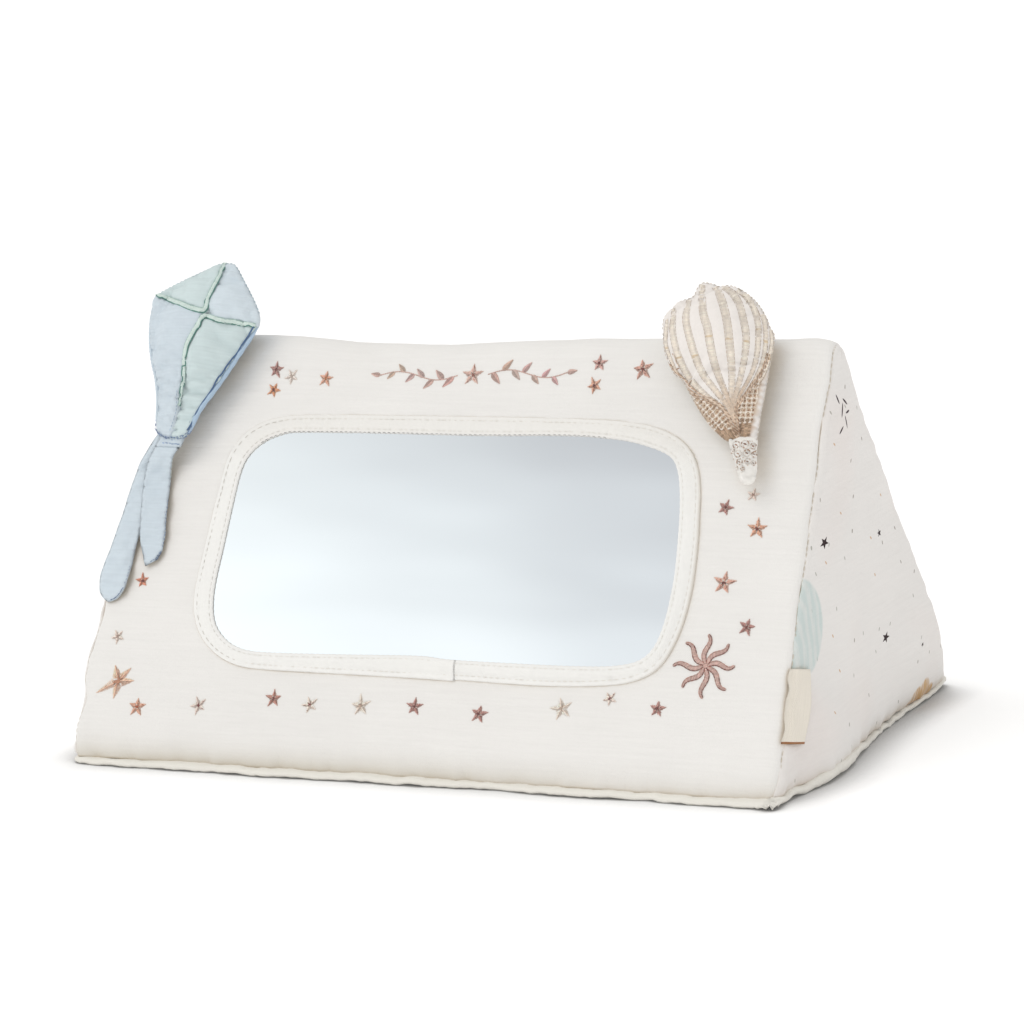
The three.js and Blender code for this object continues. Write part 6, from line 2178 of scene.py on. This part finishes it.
# ------------------------------------------------------------------ the basket
BASKET = [(132.4, 154.4), (133.4, 150), (135.2, 146), (137.2, 141.6), (138.7, 138.4), (140.2, 135.6), (142.8, 134.2), (145.2, 134.6), (146.9, 137.0), (146.8, 142.6),
          (145.8, 149), (145.4, 153.8), (142, 155.2), (137, 155.0)]
basket_line = turned(closed_spline(BASKET, 90))
cv, cf, c_rim, c_front, c_back = stuffed("basket", basket_line, 1.1, 18.2, 5.2, 0.04, 6.0, frames=16, seam_n=11.5, dome=3.0)
c_front[:, 2] += 0.25 * n_fine(c_front[:, 0], c_front[:, 1]) * smooth(line_distance(cv, basket_line, closed=True)[0] / 2)
index = np.arange(len(cv))
is_rim = np.zeros(len(cv), bool)
is_rim[c_rim] = True
index[~is_rim] = np.arange(len(cv), len(cv) + (~is_rim).sum())
pts = np.vstack([c_front, c_back[~is_rim]])
tris = [tuple(map(int, t)) for t in cf] + [tuple(int(index[i]) for i in t[::-1]) for t in cf]
ob = make("basket_pouch", to_row(pts), tris, white_mat, uv=pts[:, :2] + 5000)
face_out(ob)
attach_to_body(ob, "balloon")
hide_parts("balloon_basket")
c_surface = Surface(c_front, cf)
bag = Bag()
g = np.random.default_rng(23)
for i, (x, s, r) in enumerate([(136.3, 151.4, 1.5), (140.2, 151.8, 1.7), (144.0, 151.0, 1.4), (137.6, 147.6, 1.5), (141.6, 147.9, 1.6), (145.0, 147.4, 1.2),
                               (138.8, 144.0, 1.2), (142.4, 144.2, 1.3), (145.2, 143.6, 1.0), (135.0, 148.6, 0.9), (137.6, 140.9, 0.8), (140.6, 141.0, 0.7)]):
    count = 12
    for j in range(count):
        a0, a1 = 2 * np.pi * j / count, 2 * np.pi * (j + 1.1) / count
        rgb = np.array([190, 160, 138]) if g.random() < 0.35 else np.array([242, 235, 227])
        panel_stitch(bag, (x + r * math.cos(a0), s + r * math.sin(a0)), (x + r * math.cos(a1), s + r * math.sin(a1)), 0.3, rgb * g.uniform(0.9, 1.03),
                     rise=0.28, surf=c_surface, steps=3, base=0.05)
    panel_stitch(bag, (x - r * 0.45, s + 0.2), (x + r * 0.4, s - 0.25), r * 0.30, np.array([140, 108, 92]) * g.uniform(0.85, 1.2), rise=0.05, surf=c_surface,
                 steps=3)
for a in range(26):
    x, s = g.uniform(135, 146), g.uniform(141, 154)
    d = g.uniform(-0.8, 0.8, 2)
    panel_stitch(bag, (x, s), (x + d[0], s + d[1]), 0.2, np.array([206, 186, 168]) * g.uniform(0.85, 1.15), rise=0.2, surf=c_surface, steps=3)
ob = bag.make("basket_stitches", embroidery)
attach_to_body(ob, "balloon")


# ------------------------------------------------------------------ straps over the ridge seam
def strap(name, node, body, back, faces):
    """A short woven tape from the hinge line at the ridge seam into the toy's back."""
    src = np.array([list(v.co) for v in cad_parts[node].data.vertices]) / MM
    ss = (src[:, 1] + DEPTH / 2) * CF + src[:, 2] * SF
    nn = -(src[:, 1] + DEPTH / 2) * SF + src[:, 2] * CF
    x0, half, s0, n0 = src[:, 0].mean(), np.ptp(src[:, 0]) / 2, (ss.min() + ss.max()) / 2, nn.min() - 0.2
    tree = Surface(back, faces).tree
    rows = []
    for t in np.linspace(0, 1, 22):
        for u in np.linspace(-1, 1, 19):
            x = x0 + half * u * (1 - 0.03 * math.sin(np.pi * t))
            hit = tree.ray_cast(Vector((float(x), float(s0), -60.0)), Vector((0, 0, 1)), 200)[0]
            n1 = (hit.z if hit is not None else nn.max()) + 1.2
            bow = -0.55 * math.sin(np.pi * t) + 0.08 * math.sin(u * 5 + 3 * t) * smooth(t * 4)
            rows.append((x, s0 - 0.1 + bow, n0 + (n1 - n0) * t))
    mid_ = np.array(rows)
    v, f = shell(to_row(mid_), quads(22, 19), 0.85)
    uv = np.tile(np.stack([mid_[:, 0], mid_[:, 2]], 1), (2, 1)) + 6000
    ob = make(name, v, f, tape_mat, uv=uv)
    face_out(ob)
    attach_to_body(ob, body)
    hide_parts(node)


strap("kite_tape", "kite_strap", "kite", k_back, kf)
strap("balloon_tape", "balloon_strap", "balloon", b_back, bf)


# ------------------------------------------------------------------ the label: a folded loop sewn in the right front seam
def label():
    s0, s1 = 27.4, 59.2
    reach_, thick = 13.2, 0.45
    rows = 34
    cols = 22
    along_ = np.linspace(0, 1, rows)
    fd = np.array([math.cos(rad(-13.5)), math.sin(rad(-13.5))])
    pts = []
    # profile of the loop: out on the lower layer, round the fold, back on the upper layer, then its inner side home
    prof = []
    for layer, u in [(0, t) for t in np.linspace(-0.06, 0.93, cols)] + [(k / 6.0, None) for k in range(1, 6)] + [(1, t) for t in np.linspace(0.93, -0.06, cols)]:
        prof.append((layer, u))
    outer = []
    for layer, u in prof:
        if u is None:
            a = np.pi * layer
            outer.append((0.93 + 0.05 * math.sin(a), 0.5 * (1 - math.cos(a)), layer))
        else:
            outer.append((u, float(layer), layer))
    g_ = np.zeros((rows, len(outer), 3))
    h_ = np.zeros((rows, len(outer), 3))
    uv = np.zeros((rows, len(outer), 2))
    for i, t in enumerate(along_):
        s = s0 + (s1 - s0) * t
        y0, z0 = -DEPTH / 2 + CF * s, SF * s
        for j, (u, h, _) in enumerate(outer):
            curl = 0.6 * math.sin(np.pi * t) * u
            d = u * (reach_ + 0.5 * math.sin(3.1 * t + 0.5))
            y, z = y0 + fd[0] * d, z0 + fd[1] * d
            e = max(edge_in(np.array(y), np.array(z)).item(), 1.5)
            base = end_x(1, np.array(y), np.array(z), np.array(e)).item()
            base = puff(np.array([170.0, y, z]))[0] - 170 + base
            lift = 0.35 + 1.3 * u**2 * (1 - 0.35 * t) + curl * 0.4
            gap_ = 0.15 + 0.75 * math.sin(np.pi * min(max(u, 0), 1)) ** 0.8
            x = base + lift + h * gap_
            for arr, off in ((g_, 0.0), (h_, 1.0)):
                # the inner side of the cloth lies between the two layers
                xi = x + off * (thick if h < 0.5 else -thick) * abs(1 - 2 * h) * 0.5
                di = off * 0.22 * math.sin(np.pi * h)
                arr[i, j] = (xi, y - fd[0] * di, z - fd[1] * di)
            uv[i, j] = (t * 32, j * 1.05)
    n = len(outer)
    v = np.vstack([g_.reshape(-1, 3), h_.reshape(-1, 3)])
    f = quads(rows, n)
    f2 = [tuple(i + rows * n for i in q[::-1]) for q in f]
    rim = []
    a = np.arange(rows * n).reshape(rows, n)
    border = list(a[0]) + list(a[1:, -1]) + list(a[-1, -2::-1]) + list(a[-2:0:-1, 0])
    for k in range(len(border)):
        p, q = int(border[k]), int(border[(k + 1) % len(border)])
        rim.append((q, p, p + rows * n, q + rows * n))
    faces = f + f2 + rim
    centre = v[:, 1:]
    # brown edge at the lower end of the tape
    which = []
    for q in faces:
        t_ = np.mean([(i % (rows * n)) // n for i in q])
        which.append(1 if t_ < 0.75 else 0)
    ob = make("folded_loop_label", v, faces, [tape_mat, brown_edge], uv=np.vstack([uv.reshape(-1, 2)] * 2) + 7000, face_material=which)
    face_out(ob)
    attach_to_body(ob, "label")
    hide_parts("loop_label")


label()

# ------------------------------------------------------------------ light, floor, background
world = bpy.data.worlds.new("studio")
scene.world = world
world.use_nodes = True
wt = world.node_tree
wt.nodes.clear()


def wnode(kind, **props):
    n = wt.nodes.new(kind)
    for k, v in props.items():
        setattr(n, k, v)
    return n


out = wnode("ShaderNodeOutputWorld")
bg_soft = wnode("ShaderNodeBackground")
bg_soft.inputs["Color"].default_value = (1.0, 0.995, 0.985, 1)
bg_soft.inputs["Strength"].default_value = 0.84
bg_gloss = wnode("ShaderNodeBackground")
bg_white = wnode("ShaderNodeBackground")
bg_white.inputs["Color"].default_value = (1, 1, 1, 1)
bg_white.inputs["Strength"].default_value = 1.05
geo = wnode("ShaderNodeTexCoord")
chan = []
for k in ((-1.972, -2.083, -2.465), (-2.130, -2.222, -2.679), (-2.088, -2.271, -2.664)):
    d = wnode("ShaderNodeVectorMath", operation="DOT_PRODUCT")
    wt.links.new(geo.outputs["Generated"], d.inputs[0])
    d.inputs[1].default_value = k
    c = wnode("ShaderNodeMapRange")
    wt.links.new(d.outputs["Value"], c.inputs["Value"])
    for key, value in (("From Min", 0.45), ("From Max", 1.06), ("To Min", 0.43), ("To Max", 1.122)):
        c.inputs[key].default_value = value
    chan.append(c.outputs["Result"])
col = wnode("ShaderNodeCombineColor")
for i, c in enumerate(chan):
    wt.links.new(c, col.inputs[i])
wt.links.new(col.outputs[0], bg_gloss.inputs["Color"])
bg_gloss.inputs["Strength"].default_value = 1.0
path = wnode("ShaderNodeLightPath")
mix_a, mix_b = wnode("ShaderNodeMixShader"), wnode("ShaderNodeMixShader")
wt.links.new(path.outputs["Is Glossy Ray"], mix_a.inputs[0])
wt.links.new(bg_soft.outputs[0], mix_a.inputs[1])
wt.links.new(bg_gloss.outputs[0], mix_a.inputs[2])
wt.links.new(path.outputs["Is Camera Ray"], mix_b.inputs[0])
wt.links.new(mix_a.outputs[0], mix_b.inputs[1])
wt.links.new(bg_white.outputs[0], mix_b.inputs[2])
wt.links.new(mix_b.outputs[0], out.inputs["Surface"])

sun_data = bpy.data.lights.new("soft_key", "SUN")
sun_data.energy = 0.62
sun_data.angle = rad(40)
sun_data.color = (1.0, 0.99, 0.97)
sun = bpy.data.objects.new("soft_key", sun_data)
scene.collection.objects.link(sun)
sun.matrix_world = Vector((-0.35, -0.5, 0.79)).to_track_quat("Z", "Y").to_matrix().to_4x4()
sun.visible_glossy = False

floor_shade = Shade("floor_white", rough=1.0, spec=0.0)
# painted shadow: an ambient-occlusion factor darkens the floor's colour and dims its glow near the object, a painted
# contact shadow; elsewhere the glow keeps the floor evenly white
close = floor_shade.near(0.021, 0.42, 0.95)
painted_shadow_glow = floor_shade.math("MULTIPLY_ADD", close, 0.72, 0.28)
floor_shade.colour(floor_shade.mix(close, (0.40, 0.395, 0.39), (0.985, 0.985, 0.985)))
floor_shade.b.inputs["Emission Color"].default_value = (1, 1, 1, 1)
floor_shade.put(floor_shade.b.inputs["Emission Strength"], floor_shade.math("MULTIPLY", painted_shadow_glow, 0.12))
half = 30000
floor = make("floor", [(-half, -half, 0), (half, -half, 0), (half, half, 0), (-half, half, 0)], [(0, 1, 2, 3)],
             floor_shade.mat, smooth_shade=False)

scene.view_settings.view_transform = "Standard"
scene.view_settings.look = "None"
scene.view_settings.exposure = 0
scene.view_settings.gamma = 1

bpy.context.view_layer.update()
